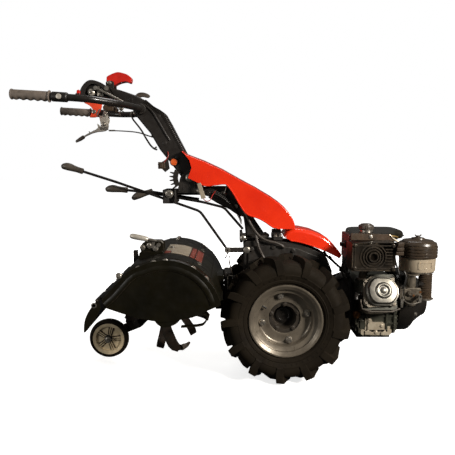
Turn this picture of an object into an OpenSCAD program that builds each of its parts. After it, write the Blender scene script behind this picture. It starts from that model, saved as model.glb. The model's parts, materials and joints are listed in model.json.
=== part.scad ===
// Two-wheel walking tractor with a rear rotary tiller.
// Frame: +X forward (engine end), +Y to the machine's left, +Z up, origin on the ground
// under the middle of the machine. Inside the modules X is counted from the wheel axle
// and place() moves the finished piece into the frame.

/* [Frame] */
// Distance from the origin forward to the wheel axle
axle_x = 190; // [190:1:190]
// Height of the wheel axle above the ground
axle_z = 250; // [250:1:250]

/* [Drive wheels] */
// Distance from the centre plane to the middle of each tyre
track_half = 153; // [150:1:158]
// Tyre section width
tyre_w = 130; // [124:1:132]
// Depth of the tread lugs
lug_h = 20; // [14:1:22]
// Number of lugs on each side of a tyre
lug_count = 13; // [9:1:15]
// Radius at which the tyre sits on the rim
bead_r = 127; // [125:1:130]
// Radius of the rim flange
flange_r = 144; // [140:1:147]
// Radius of the wheel bolt circle
wheel_bolt_r = 90; // [86:1:94]
// Radius of each axle shaft
axle_r = 17.5; // [15:0.5:20]

/* [Tiller] */
// Rotor axis, measured back from the wheel axle
rotor_x = -445; // [-450:1:-440]
// Height of the rotor axis with the tiller raised for transport
rotor_z = 300; // [295:1:305]
// Radius of the circle swept by the tine tips
tine_r = 164; // [150:1:168]
// Half the width over the tiller hood
hood_half = 300; // [290:1:300]
// Outer radius of the round part of the tiller hood
hood_r = 208; // [204:1:212]
// Sheet thickness of the tiller hood
sheet = 4; // [3:0.5:5]
// Radius of the depth wheel
depth_r = 86; // [80:1:86]
// Width of the depth wheel
depth_w = 44; // [40:1:46]

/* [Handlebar] */
// Half the distance between the two grips
grip_half = 265; // [255:1:275]
// Radius of the handle tubes
tube_r = 12.5; // [11:0.5:14]
// Radius of the grips
grip_r = 17; // [16:0.5:19]
// Half the width of the steering column
column_half = 42; // [38:1:44]

/* [Engine] */
// Height of the crankshaft and of the power take-off at the engine
crank_z = 288; // [284:1:292]
// Tilt of the cylinder above horizontal
cylinder_tilt = 22; // [20:1:25]
// Radius of the fan shroud
fan_r = 128; // [124:1:130]
// Radius of the air cleaner bowl
air_r = 68; // [62:1:70]

/* [Hidden] */
$fn = 48;
run = 0.05;          // radial clearance of every turning fit
bolt_turn = 12;      // how far the wheel bolts are turned
drum_depth = 60;     // depth of the hub drum
pto_z = 330;         // height of the power take-off shaft
pto_r = 14;          // its radius
steer_x = -100;      // vertical steering pin
pivot_x = -372;      // height pivot of the column
pivot_z = 790;
flap_x = -688;       // hinge of the rear flap
flap_z = 360;
depth_x = -742;      // axle of the depth wheel
depth_y = 92;
depth_bead = 70;     // where its tyre sits on its rim
post_x = -625;       // sliding post of the depth wheel
post_y = 132;
flange_y = [-240, -150, -60, 60, 150, 240];   // tine flanges along the rotor
tine_turn = [-10, 15, -32, 36, 8, 66];       // how far each flange is turned
engine_x = 358;      // middle of the cylinder
cap_x = 331;         // fuel cap
cap_y = -60;
clutch_x = -779;     // clutch lever pin
clutch_z = 1024;
latch_x = -815;      // latch pin
latch_z = 1077;
stop_x = -684;       // stop lever pin
stop_z = 1160;
reverse_x = -592;    // reverse lever pin
reverse_z = 1092;
shift_x = -146;      // shift arm pin
shift_z = 505;
air_x = 520;         // air cleaner
air_y = -112;

// ---- helpers ----

// Moves a piece drawn from the wheel axle into the frame.
module place() translate([axle_x, 0, 0]) children();

// A round bar from a to b.
module rod(a, b, r) {
  d = b - a;
  len = norm(d);
  translate(a) rotate([0, acos(d[2] / len), atan2(d[1], d[0])]) cylinder(h = len, r = r);
}

function unit(v) = v / norm(v);

// Direction of each stretch of a route, and the plane normal where two stretches meet.
function way(p, i) = unit(p[min(i, len(p) - 2) + 1] - p[min(i, len(p) - 2)]);
function mitre(p, i) = i == len(p) - 1 ? way(p, i) : unit(way(p, i - 1) + way(p, i));

// Slides a ring of points along stretch i until it meets the next mitre plane.
function carried(p, ring, i) = let (d = way(p, i), n = mitre(p, i + 1))
  [for (q = ring) q + d * (((p[i + 1] - q) * n) / (d * n))];
function rings(p, ring, i = 0) = i == len(p) - 1 ? [ring]
  : concat([ring], rings(p, carried(p, ring, i), i + 1));

// A bar of round section, mitred at each bend of its route.
module bent_bar(p, r, sides = 16) {
  d = way(p, 0);
  u = unit(cross(d, abs(d[1]) > 0.9 ? [1, 0, 0] : [0, 1, 0]));
  v = cross(d, u);
  first = [for (k = [0 : sides - 1]) p[0] + r * (u * cos(360 * k / sides) + v * sin(360 * k / sides))];
  all = rings(p, first);
  n = len(all);
  walls = [for (i = [0 : n - 2], k = [0 : sides - 1])
    [i * sides + k, (i + 1) * sides + k, (i + 1) * sides + (k + 1) % sides, i * sides + (k + 1) % sides]];
  start_cap = [[for (k = [0 : sides - 1]) k]];
  end_cap = [[for (k = [sides - 1 : -1 : 0]) (n - 1) * sides + k]];
  polyhedron([for (ring = all) each ring], concat(walls, start_cap, end_cap));
}

// A flat outline in the X-Z plane, from y0 to y1.
module slab(outline, y0, y1) translate([0, y1, 0]) rotate([90, 0, 0])
  linear_extrude(y1 - y0) polygon(outline);

// A cylinder along Y from y0 to y1.
module y_disc(x, z, y0, y1, r) translate([x, y1, z]) rotate([90, 0, 0]) cylinder(h = y1 - y0, r = r);

// A cylinder along X from x0 to x1.
module x_disc(x0, x1, y, z, r) translate([x0, y, z]) rotate([0, 90, 0]) cylinder(h = x1 - x0, r = r);

// A box between two corners.
module block(low, high) translate(low) cube(high - low);

// Points of an arc in the X-Z plane.
function arc(x, z, r, a0, a1, n) =
  [for (i = [0 : n]) [x + r * cos(a0 + (a1 - a0) * i / n), z + r * sin(a0 + (a1 - a0) * i / n)]];

// A hexagon head standing on the X-Y plane.
module hex_head(across, h) cylinder(h = h, d = across * 1.1547, $fn = 6);

// Turns a shape drawn along +Z so that it points along side * Y.
module along_y(side) rotate([-90 * side, 0, 0]) children();

// ---- drive wheels (side is -1 on the right, 1 on the left) ----

module at_wheel(side) translate([0, side * track_half, axle_z]) along_y(side) children();

module tyre(side) {
  half = tyre_w / 2;
  tread_r = axle_z - lug_h;
  outer = [
    [bead_r, -40], [flange_r, -43.5], [172, -half + 4], [200, -half + 2],
    [tread_r - 6, -half + 16], [tread_r, -30], [tread_r, 30],
    [tread_r - 6, half - 16], [200, half - 2], [172, half - 4], [flange_r, 43.5], [bead_r, 40]
  ];
  inner = [
    [bead_r - 1, -36], [bead_r + 8, -40], [178, -52], [206, -46], [tread_r - 14, -20],
    [tread_r - 14, 20], [206, 46], [178, 52], [bead_r + 8, 40], [bead_r - 1, 36]
  ];
  envelope = [
    [190, -half], [axle_z - 16, -half], [axle_z - 3, -half + 6], [axle_z, -20],
    [axle_z, 20], [axle_z - 3, half - 6], [axle_z - 16, half], [190, half]
  ];
  color("dimgray") place() at_wheel(side) {
    difference() {
      rotate_extrude($fn = 96) polygon(outer);
      rotate_extrude($fn = 96) polygon(inner);
    }
    intersection() {
      rotate_extrude($fn = 96) polygon(envelope);
      for (i = [0 : lug_count - 1], row = [-1, 1]) {
        turn = 360 / lug_count * (i + (row > 0 ? 0.5 : 0));
        rotate([0, 0, turn]) translate([tread_r - 30, 0, 0]) rotate([0, 90, 0])
          linear_extrude(60)
          polygon([[-row * half, -6], [-row * half, 18], [row * 6, 50], [row * 6, 30]]);
      }
    }
  }
}

module rim(side) {
  well = [
    [flange_r, 47], [flange_r, 44], [bead_r - 0.2, 41], [bead_r - 0.2, 30], [108, 22],
    [108, -22], [bead_r - 0.2, -30], [bead_r - 0.2, -41], [flange_r, -44], [flange_r, -47],
    [bead_r - 4, -44], [bead_r - 4, -32], [104, -24], [104, 24], [bead_r - 4, 32],
    [bead_r - 4, 44]
  ];
  color("silver") place() at_wheel(side) {
    rotate_extrude($fn = 96) polygon(well);
    difference() {
      translate([0, 0, -7]) cylinder(h = 5, r = 106, $fn = 96);
      translate([0, 0, -8]) cylinder(h = 7, r = 62);
      for (i = [0 : 3]) rotate([0, 0, 90 * i + bolt_turn])
        translate([wheel_bolt_r, 0, -8]) cylinder(h = 7, r = 6.2);
    }
  }
}

module hub(side) {
  color([0.12, 0.12, 0.12]) place() at_wheel(side) {
    difference() {
      union() {
        translate([0, 0, -15]) cylinder(h = 8, r = 103);
        translate([0, 0, -drum_depth]) cylinder(h = drum_depth - 8, r = 51);
      }
      translate([0, 0, -drum_depth + 7]) cylinder(h = drum_depth, r = 45);
      for (i = [0 : 3]) rotate([0, 0, 90 * i + bolt_turn])
        translate([wheel_bolt_r, 0, -16]) cylinder(h = 10, r = 6.2);
    }
    translate([0, 0, -drum_depth + 6]) cylinder(h = 9, r = 31);
    translate([0, 0, -(track_half - 22)]) cylinder(h = track_half - 22 - drum_depth + 1, r = axle_r);
    for (i = [0 : 4]) rotate([0, 0, 72 * i]) translate([54, 0, -7.5]) hex_head(12, 7);
  }
}

module wheel_bolts(side) {
  color("gainsboro") place() at_wheel(side)
    for (i = [0 : 3]) rotate([0, 0, 90 * i + bolt_turn]) translate([wheel_bolt_r, 0, 0]) {
      translate([0, 0, -24]) cylinder(h = 26, r = 6);
      translate([0, 0, -2]) hex_head(19, 15);
      translate([0, 0, -23]) hex_head(19, 8);
    }
}

// ---- gearbox and front end ----

module gearbox_case() {
  side_view = [
    [-156, 205], [-156, 538], [-60, 540], [60, 530], [168, 486], [200, 415], [200, 190],
    [150, 160], [-100, 160]
  ];
  gear_space = [
    [-146, 215], [-146, 456], [60, 456], [152, 424], [188, 396], [188, 204], [144, 172], [-94, 172]
  ];
  color([0.13, 0.12, 0.12]) place() difference() {
    union() {
      slab(side_view, -66, 66);
      y_disc(0, axle_z, -88, 88, 46);
      y_disc(0, axle_z, -78, 78, 84);
      translate([steer_x, 0, 539]) cylinder(h = 8, r = 52);
    }
    slab(gear_space, -56, 56);
    y_disc(0, axle_z, -89, -20, axle_r + run);
    y_disc(0, axle_z, 20, 89, axle_r + run);
    x_disc(-157, 202, 0, pto_z, pto_r + run);
    translate([steer_x, 0, 470]) cylinder(h = 80, r = 14 + run);
    y_disc(shift_x, shift_z, -67, -44, 6 + run);
  }
}

module shift_arm() {
  color([0.35, 0.32, 0.3]) place() {
    difference() {
      union() {
        slab([[-222, 510], [-222, 498], [-146, 495], [-146, 515]], -75, -67);
        y_disc(-222, 504, -75, -67, 12);
        y_disc(shift_x, shift_z, -78, -66.4, 13);
      }
      y_disc(-222, 504, -76, -66, 7);
    }
    y_disc(shift_x, shift_z, -70, -46, 6);
  }
}

module gearbox_cover() {
  color([0.16, 0.15, 0.15]) place() {
    block([-172, -62, 530], [-160, 24, 574]);
    block([-160, -62, 541], [-148, -46, 570]);
    block([-38, -58, 539], [0, 58, 556]);
    block([-42, -46, 556], [-6, -10, 588]);
    for (x = [-28, -9], y = [-50, 50]) translate([x, y, 556]) hex_head(11, 7);
    y_disc(-140, 420, -72, -66, 10);
  }
}

module bell_housing() {
  color([0.13, 0.12, 0.12]) place() difference() {
    union() {
      x_disc(200.2, 262, 0, crank_z, 84);
      x_disc(260, 280.8, 0, crank_z, 112);
      for (a = [22.5 : 45 : 360]) translate([222, 0, crank_z]) rotate([a, 0, 0])
        translate([0, -4, 80]) cube([40, 8, 7]);
    }
    x_disc(199, 282, 0, crank_z, 72);
  }
}

module front_fairing() {
  top = [[4, 545], [14, 568], [36, 588], [76, 586], [117, 577], [159, 559], [201, 525], [236, 484]];
  under = [[218, 476], [169, 501], [117, 521], [68, 537]];
  cut = [[-10, 541], [20, 562], [40, 581], [76, 579], [114, 570], [155, 553], [197, 519],
         [222, 490], [218, 440], [0, 440]];
  color("orangered") place() difference() {
    slab(concat(top, under), -72, 72);
    slab(cut, -68, 68);
  }
}

module implement_coupling() {
  color([0.12, 0.12, 0.12]) place() difference() {
    union() {
      x_disc(-204, -156, 0, pto_z, 54);
      block([-236, -62, 252], [-204, 62, 408]);
      x_disc(-226, -212, -70, 380, 9);
    }
    x_disc(-237, -155, 0, pto_z, pto_r + run);
  }
}

module drive_shaft() {
  color("darkgray") place() x_disc(-400, 190, 0, pto_z, pto_r);
}

// ---- engine ----

module engine_base() {
  color("lightgray") place() difference() {
    union() {
      block([298, -88, 150], [432, 88, 158]);
      for (y = [-84, 68]) block([304, y, 158], [426, y + 16, 171.7]);
      for (y = [-60, 52]) rod([186, y, 470], [262, y, 404], 5);
      for (y = [-60, 52]) block([256, y - 8, 391], [268, y + 8, 412]);
    }
    for (x = [-50, 50], y = [-48, 48]) translate([365 + x, y, 149]) cylinder(h = 30, r = 5.5);
  }
}

module crankcase() {
  profile = [[281, 200], [300, 172], [440, 172], [455, 200], [455, 372], [430, 398],
             [300, 398], [281, 372]];
  color("silver") place() difference() {
    union() {
      slab(profile, -112, 104);
      translate([308, -108, 212]) rotate([90, 0, 0]) cylinder(h = 26, r = 15);
    }
    block([300, -92, 190], [436, 84, 380]);
    x_disc(280, 301, 0, crank_z, 30);
    x_disc(435, 456, 0, crank_z, 30);
    along_cylinder() translate([-100, -100, 121.8]) cube(200);
  }
}

// Draws along the cylinder's axis, away from the crankshaft.
module along_cylinder() translate([engine_x, 0, crank_z])
  rotate([-cylinder_tilt, 0, 0]) rotate([90, 0, 0]) children();

module cylinder_head() {
  color("darkgray") place() along_cylinder() {
    translate([-62, -60, 122]) cube([124, 120, 70]);
    for (i = [0 : 5]) translate([-72, -68, 126 + 11 * i]) cube([144, 136, 5]);
    translate([-60, -30, 192]) cube([120, 60, 12]);
    translate([-70, -20, 160]) rotate([0, -90, 0]) cylinder(h = 34, r = 9);
  }
}

module valve_cover() {
  shape = [[-57, -6], [-46, -44], [-22, -53], [30, -53], [57, -20], [57, 6], [30, 50],
           [-24, 53], [-46, 38]];
  color("gainsboro") place() along_cylinder() {
    translate([0, 0, 204]) linear_extrude(14) polygon(shape);
    translate([0, 0, 218]) linear_extrude(12) polygon([for (p = shape) p * 0.86]);
    translate([2, 0, 230]) cylinder(h = 7, r = 27);
    translate([2, 0, 237]) cylinder(h = 4, r = 15);
  }
}

module muffler() {
  color([0.3, 0.27, 0.24]) place() {
    block([252, -204, 462], [386, -142, 540]);
    translate([315, -200, 503]) rotate([90, 0, 0]) cylinder(h = 26, r = 17);
    rod([300, -160, 466], [300, -160, 440], 16);
  }
}

module muffler_guard() {
  color([0.2, 0.18, 0.16]) place() difference() {
    block([238, -222, 449], [399, -136, 554]);
    block([242, -218, 453], [395, -130, 550]);
    translate([315, -210, 503]) rotate([90, 0, 0]) cylinder(h = 14, r = 24);
    for (i = [0 : 4]) translate([352, -226, 476 + 14 * i]) cube([36, 12, 6]);
    block([282, -178, 440], [318, -142, 458]);
  }
}

module fuel_tank() {
  color([0.12, 0.11, 0.1]) place() difference() {
    union() {
      hull() for (x = [270, 422], y = [-118, 112], z = [556.5, 562])
        translate([x, y, z]) sphere(r = 16, $fn = 24);
      hull() for (x = [400, 484], y = [-12, 112], z = [556.5, 558])
        translate([x, y, z]) sphere(r = 16, $fn = 24);
      translate([cap_x, cap_y, 574]) cylinder(h = 12, r = 24);
    }
    block([266, -122, 546], [426, 116, 572.5]);
    block([410, -20, 546], [488, 116, 568]);
  }
}

module fuel_cap() {
  color([0.14, 0.13, 0.12]) place() translate([cap_x, cap_y, 586.4]) {
    cylinder(h = 18, r = 29);
    translate([0, 0, 18]) cylinder(h = 5, r = 22);
    for (i = [0 : 11]) rotate([0, 0, 30 * i]) translate([27, -2.5, 2]) cube([5, 5, 14]);
  }
}

module fan_shroud() {
  color([0.1, 0.1, 0.1]) place() difference() {
    union() {
      x_disc(456, 540, 0, crank_z, fan_r);
      translate([540, 0, crank_z]) rotate([0, 90, 0]) cylinder(h = 24, r1 = fan_r, r2 = 96);
      x_disc(564, 586, 0, crank_z, 92);
      block([456, 10, crank_z - fan_r], [540, fan_r, crank_z]);
    }
    x_disc(455, 536, 0, crank_z, fan_r - 5);
    x_disc(535, 581, 0, crank_z, 86);
    for (i = [0 : 11]) translate([0, 0, crank_z]) rotate([30 * i, 0, 0])
      block([578, -5, 44], [590, 5, 76]);
    translate([574, 40, 352]) rotate([-90, 0, 0]) cylinder(h = 60, r = 5);
  }
}

module starter_handle() {
  color([0.1, 0.1, 0.1]) place() {
    translate([574, 96, 352]) rotate([-90, 0, 0]) cylinder(h = 12, r = 8);
    x_disc(552, 592, 114, 352, 9);
    rod([574, -50, 352], [574, 98, 352], 2);
  }
}

module carburettor() {
  color("darkgray") place() {
    block([452, -196, 330], [512, -128, 378]);
    translate([482, -162, 304]) cylinder(h = 26, r = 24);
    translate([482, -162, 378]) cylinder(h = 50, r = 17);
    block([438, -190, 336], [452, -134, 374]);
    translate([500, -190, 350]) rotate([90, 0, 0]) cylinder(h = 24, r = 5);
    block([494, -216, 330], [506, -212, 356]);
  }
}

module air_bowl() {
  color([0.72, 0.66, 0.55]) place() difference() {
    union() {
      translate([air_x, air_y, 430]) cylinder(h = 56, r = air_r);
      translate([482, -162, 428]) cylinder(h = 3, r = 26);
    }
    translate([air_x, air_y, 436]) cylinder(h = 60, r = air_r - 5);
  }
}

module air_cover() {
  color([0.1, 0.09, 0.09]) place() translate([air_x, air_y, 486]) {
    cylinder(h = 22, r = 74);
    translate([0, 0, 22]) cylinder(h = 6, r = 71);
    translate([0, 0, 28]) cylinder(h = 26, r = 74);
    translate([0, 0, 54]) cylinder(h = 14, r1 = 74, r2 = 52);
    translate([0, 0, 68]) cylinder(h = 8, r = 24);
    translate([0, 0, 76]) cylinder(h = 8, r = 9);
    for (a = [0, 180]) rotate([0, 0, a]) translate([6, -2, 76]) rotate([0, -25, 0]) cube([16, 4, 9]);
  }
}

module air_intake() {
  color([0.13, 0.11, 0.1]) place() translate([540, -151, 322]) {
    cylinder(h = 107, r = 22);
    for (i = [0 : 9]) translate([0, 0, 6 + 10 * i]) cylinder(h = 5, r = 26);
  }
}

module engine_panel() {
  color("firebrick") place() {
    hull() for (y = [-76, 84], z = [472, 570]) translate([240, y, z]) rotate([0, 90, 0])
      cylinder(h = 12, r = 9, $fn = 24);
    block([241, -40, 400.4], [250, 40, 474]);
    block([241, -40, 400.4], [280, 40, 408]);
  }
}

// ---- tiller ----

hood_rear = [-600, 466];
hood_front = 14;      // where the round sheet starts, clear of the tyres
hood_back = 124;      // where it runs into the flat rear sheet
hood_top = arc(rotor_x, rotor_z, hood_r, hood_front, hood_back, 26);

// The band of sheet between an outline and the same outline moved in by t.
module hood_band(t) {
  outline = concat(hood_top, [hood_rear, [flap_x + 2, flap_z + 6]]);
  inside = concat(arc(rotor_x, rotor_z, hood_r - t, hood_front, hood_back, 26),
                  [[hood_rear[0] + 3, hood_rear[1] - t - 2], [flap_x + 5, flap_z + 3]]);
  n = len(inside);
  polygon(concat(outline, [for (i = [n - 1 : -1 : 0]) inside[i]]));
}

module tiller_hood() {
  color([0.11, 0.11, 0.08]) place() difference() {
    union() {
      translate([0, hood_half, 0]) rotate([90, 0, 0]) linear_extrude(2 * hood_half) hood_band(sheet);
      block([-270, -70, 262], [-237, 70, 400]);
      for (x = [-250, -272]) block([x, -70, 380], [x + 12, 70, 400]);
    }
    x_disc(-280, -230, 0, pto_z, 41);
    block([post_x - 14, post_y - 14, 400], [post_x + 14, post_y + 14, 500]);
  }
}

side_outline = concat(
  arc(rotor_x, rotor_z, hood_r - sheet - 0.3, -6, 124, 26),
  [[-600, 449], [-677, 358], [-664, 331], [-500, 283], [-464, 276], [-349, 294]]
);

module side_plate(side) {
  y0 = side * (hood_half - 8);
  color([0.1, 0.1, 0.09]) place() {
    slab(side_outline, min(y0, y0 + side * 4), max(y0, y0 + side * 4));
    difference() {
      y_disc(rotor_x, rotor_z, min(y0, y0 - side * 20), max(y0, y0 - side * 20), 30);
      y_disc(rotor_x, rotor_z, -hood_half, hood_half, 16 + run);
    }
    for (a = [20 : 26 : 124]) translate([rotor_x, y0 + side * 4, rotor_z]) rotate([0, -a, 0])
      translate([188, 0, 0]) along_y(side) hex_head(13, 4);
    translate([0, side * (hood_half - 18), 0])
      slab([[-330, 312], [-330, 300], [-298, 300], [-298, 276], [-330, 264], [-402, 258],
            [-402, 252], [-328, 256], [-290, 270], [-290, 308]], -10, 10);
  }
}

module tiller_drive() {
  color([0.12, 0.12, 0.11]) place() difference() {
    union() {
      x_disc(-470, -237, 0, pto_z, 40);
      y_disc(rotor_x, rotor_z, -40, 40, 62);
      block([-500, -34, 330], [-400, 34, 384]);
    }
    x_disc(-401, -236, 0, pto_z, pto_r + run);
    y_disc(rotor_x, rotor_z, -41, 41, 16 + run);
  }
}

module rotor_shaft() {
  color([0.2, 0.18, 0.16]) place() {
    y_disc(rotor_x, rotor_z, -291, 291, 16);
    for (y = flange_y) y_disc(rotor_x, rotor_z, y - 4, y + 4, 56);
    for (s = [-1, 1]) y_disc(rotor_x, rotor_z, s * 150 - 98, s * 150 + 98, 24);
  }
}

module tines() {
  color([0.2, 0.17, 0.14]) place() translate([rotor_x, 0, rotor_z])
    for (k = [0 : 5], i = [0 : 3]) {
      bend = [1, -1, -1, 1, 1, -1][k];
      rotate([0, 90 * i + tine_turn[k], 0]) translate([0, flange_y[k], 0])
        mirror([0, bend > 0 ? 0 : 1, 0]) blade();
    }
}

// A blade lying along +X, flat against the flange and bent towards +Y at its tip.
module blade() {
  reach = tine_r - 6;
  translate([0, 4.2, 0]) {
    linear_extrude(8) polygon([[30, 0], [reach - 44, 0], [reach - 44, 8], [30, 8]]);
    translate([0, 0, -14]) linear_extrude(30) polygon([[30, 0], [reach - 40, 0],
      [reach - 12, 10], [reach, 42], [reach - 8, 44], [reach - 20, 18], [reach - 44, 8], [30, 8]]);
  }
}

module rear_flap() {
  curve = [[0, 0], [-34, -44], [-50, -92], [-51, -118]];
  outer = [for (p = curve) [flap_x + p[0], flap_z + p[1]]];
  inner = [for (i = [3 : -1 : 0]) [flap_x + curve[i][0] + 4, flap_z + curve[i][1] - (i == 0 ? 4 : 0)]];
  color([0.11, 0.11, 0.08]) place() {
    difference() {
      union() {
        slab(concat(outer, inner), -hood_half, hood_half);
        y_disc(flap_x, flap_z - 2, -hood_half, hood_half, 7);
      }
      y_disc(flap_x, flap_z - 2, -hood_half - 1, hood_half + 1, 4);
    }
  }
}

module depth_arm() {
  color([0.1, 0.1, 0.1]) place() {
    block([post_x - 10, post_y - 10, 142], [post_x + 10, post_y + 10, 470]);
    slab([[post_x + 18, 122], [post_x + 18, 150], [post_x - 10, 160], [depth_x - 12, depth_r + 14],
          [depth_x - 12, depth_r - 14], [depth_x + 12, depth_r - 14]], post_y - 8, post_y + 8);
    y_disc(depth_x, depth_r, depth_y - depth_w / 2 - 6, post_y, 8);
  }
}

module depth_tyre() {
  half = depth_w / 2;
  color([0.12, 0.12, 0.12]) place() translate([depth_x, depth_y, depth_r]) rotate([90, 0, 0])
    rotate_extrude($fn = 72)
      polygon([[depth_bead, -half + 3], [74, -half], [80, -half + 4], [depth_r, -8], [depth_r, 8],
               [80, half - 4], [74, half], [depth_bead, half - 3]]);
}

module depth_rim() {
  half = depth_w / 2;
  color("tan") place() translate([depth_x, depth_y, depth_r]) rotate([90, 0, 0]) difference() {
    union() {
      difference() {
        translate([0, 0, -half + 3]) cylinder(h = depth_w - 6, r = depth_bead - 0.3, $fn = 72);
        translate([0, 0, -half]) cylinder(h = depth_w, r = 54);
      }
      translate([0, 0, -half + 2]) cylinder(h = depth_w - 4, r = 17);
      for (i = [0 : 5]) rotate([0, 0, 60 * i + 10]) translate([12, -7, -4]) cube([45, 14, 14]);
    }
    translate([0, 0, -half - 1]) cylinder(h = depth_w + 2, r = 8 + run);
  }
}

module clamp_bracket() {
  color([0.14, 0.14, 0.12]) place() difference() {
    union() {
      block([-566, -150, 474], [-468, -64, 512]);
      block([-552, -140, 512], [-470, -128, 548]);
      block([-552, -86, 512], [-470, -74, 548]);
      block([-540, -128, 520], [-508, -86, 526]);
    }
    y_disc(-486, 536, -152, -60, 8 + run);
    slab(concat(arc(rotor_x, rotor_z, hood_r + 0.3, 60, 130, 14), [[rotor_x - 60, rotor_z]]),
         -160, -60);
  }
}

module clamp_lever() {
  color([0.5, 0.47, 0.42]) place() {
    y_disc(-486, 536, -154, -60, 8);
    y_disc(-486, 536, -120, -94, 13);
    rod([-486, -107, 536], [-536, -107, 552], 6);
    rod([-536, -107, 552], [-602, -107, 566], 11);
  }
}

// ---- steering and handlebar ----

module steering_frame() {
  goose = [[-146, 547.4], [-158, 636], [-192, 678], [-232, 697], [-290, 712], [-326, 722],
           [-326, 752], [-212, 757], [-172, 712], [-124, 640], [-62, 547.4]];
  color([0.12, 0.11, 0.11]) place() {
    slab(goose, -30, 30);
    translate([steer_x, 0, 547.4]) cylinder(h = 12, r = 50);
    translate([steer_x, 0, 476]) cylinder(h = 80, r = 14);
    block([-206, -20, 735], [-184, 20, 776]);
  }
}

module height_sector() {
  cheek = [[-320, 724], [-320, 757], [-340, 813], [-392, 821], [-410, 789], [-421, 733]];
  color([0.1, 0.1, 0.1]) place() {
    difference() {
      for (s = [-1, 1]) slab(cheek, s * 52 - 5, s * 52 + 5);
      y_disc(pivot_x, pivot_z, -60, 60, 10 + run);
    }
    block([-421, -57, 722], [-326.2, 57, 734]);
    difference() {
      slab(concat(arc(pivot_x, pivot_z, 66, 150, 215, 8), arc(pivot_x, pivot_z, 44, 215, 150, 8)),
           -57, -47);
      y_disc(pivot_x, pivot_z, -60, 60, 10 + run);
    }
    difference() {
      block([-476, -82, 690], [-426, 56, 744]);
      block([-470, -52, 680], [-430, 30, 750]);
      rod(gear_path[0], gear_path[2], 8);
      rod(lock_path[1], lock_path[2], 8);
      rod(speed_path[1], speed_path[2], 8);
    }
    block([-427, -22, 722], [-420, 28, 744]);
    for (i = [0 : 4]) translate([pivot_x, -52, pivot_z]) rotate([0, -(164 + 12 * i), 0])
      translate([71, 0, 0]) cube([18, 8, 5], center = true);
  }
}

module hood() {
  top = [[-398, 893], [-382, 877], [-313, 853], [-244, 821], [-171, 780], [-110, 748],
         [-48, 711], [5, 670], [30, 641], [43, 617], [47, 592]];
  bottom = [[-23, 590], [-43, 594], [-74, 618], [-102, 633], [-145, 649], [-173, 685],
            [-193, 724], [-220, 763], [-267, 767], [-302, 759], [-329, 767], [-376, 790],
            [-360, 829], [-368, 859]];
  hollow = [[-420, 890], [-380, 869], [-311, 847], [-242, 815], [-168, 774], [-107, 742],
            [-46, 706], [0, 665], [24, 638], [38, 612], [40, 560], [-400, 560]];
  color("orangered") place() difference() {
    slab(concat(top, bottom), -84, 84);
    slab(hollow, -79, 79);
    block([-420, -52, 740], [-348, 52, 920]);
  }
}

column_outline = [
  [-690, 1143], [-643, 1132], [-585, 1113], [-540, 1090], [-512, 1066], [-468, 1044],
  [-426, 962], [-378, 874], [-348, 800], [-352, 776], [-372, 766], [-394, 776],
  [-451, 852], [-490, 900], [-528, 966], [-579, 1028], [-605, 1072], [-665, 1098]
];

module column() {
  color([0.12, 0.11, 0.11]) place() {
    difference() {
      union() {
        slab(column_outline, -column_half, column_half);
        y_disc(pivot_x, pivot_z, -62, 62, 10);
        block([-580, -72, 1040], [-540, 72, 1072]);
      }
      y_disc(reverse_x, reverse_z, column_half - 20, column_half + 1, 4 + run);
    }
  }
}

module console() {
  dome = [[-793, 1104], [-793, 1121], [-780, 1143], [-760, 1166], [-714, 1157], [-690, 1146],
          [-668, 1101], [-735, 1100]];
  ear = [[-700, 1140], [-668, 1130], [-668, 1168], [-700, 1168]];
  color([0.13, 0.12, 0.12]) place() {
    difference() {
      slab(dome, -66, 66);
      slab(column_outline, -column_half, column_half);
    }
    difference() {
      for (s = [-1, 1]) slab(ear, s * 24 - 3, s * 24 + 3);
      slab(column_outline, -column_half, column_half);
      y_disc(stop_x, stop_z, -30, 30, 5 + run);
    }
  }
}

// Handle tube from its column end out to the grip.
function handle_path(side) = [
  [-560, side * 72.2, 1056], [-560, side * 88, 1056], [-618, side * 190, 1061],
  [-700, side * (grip_half - 9), 1067], [-760, side * grip_half, 1071],
  [-964, side * grip_half, 1083]
];

module handle(side) {
  color([0.12, 0.12, 0.12]) place() {
    bent_bar(handle_path(side), tube_r);
    if (side > 0) difference() {
      union() {
        for (y = [251, 273]) slab([[-796, 1076], [-762, 1074], [-768, 1012], [-790, 1012]], y, y + 6);
        y_disc(latch_x, latch_z, 241, 262, 9);
      }
      y_disc(clutch_x, clutch_z, 240, 290, 5 + run);
      y_disc(latch_x, latch_z, 240, 252, 5 + run);
    }
  }
}

module grip(side) {
  end = [-974, side * grip_half, 1083.6];
  front = [-838, side * grip_half, 1075.6];
  dir = (front - end) / norm(front - end);
  color([0.16, 0.14, 0.13]) place() difference() {
    union() {
      rod(end, front, grip_r);
      rod(front - dir * 6, front, grip_r + 4);
      rod(end, end + dir * 5, grip_r + 1.5);
    }
    rod(end + dir * 9, front + dir * 4, tube_r + 0.1);
  }
}

module stop_lever() {
  shape = [[-700, 1184], [-656, 1203], [-617, 1195], [-601, 1182], [-604, 1162], [-618, 1167],
           [-642, 1163], [-664, 1156], [-676, 1150], [-694, 1150]];
  color("firebrick") place() {
    slab(shape, -20, 20);
    y_disc(stop_x, stop_z, -27, 27, 5);
  }
}

module reverse_lever() {
  knob = [[-600, 1122], [-572, 1136], [-546, 1132], [-542, 1122], [-552, 1114], [-574, 1119],
          [-590, 1113]];
  color([0.15, 0.14, 0.13]) place() {
    slab(knob, 62, 82);
    rod([reverse_x, 50, reverse_z], [-592, 72, 1122], 5);
    y_disc(reverse_x, reverse_z, column_half + 0.4, 58, 9);
    y_disc(reverse_x, reverse_z, column_half - 16, 50, 4);
  }
}

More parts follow.
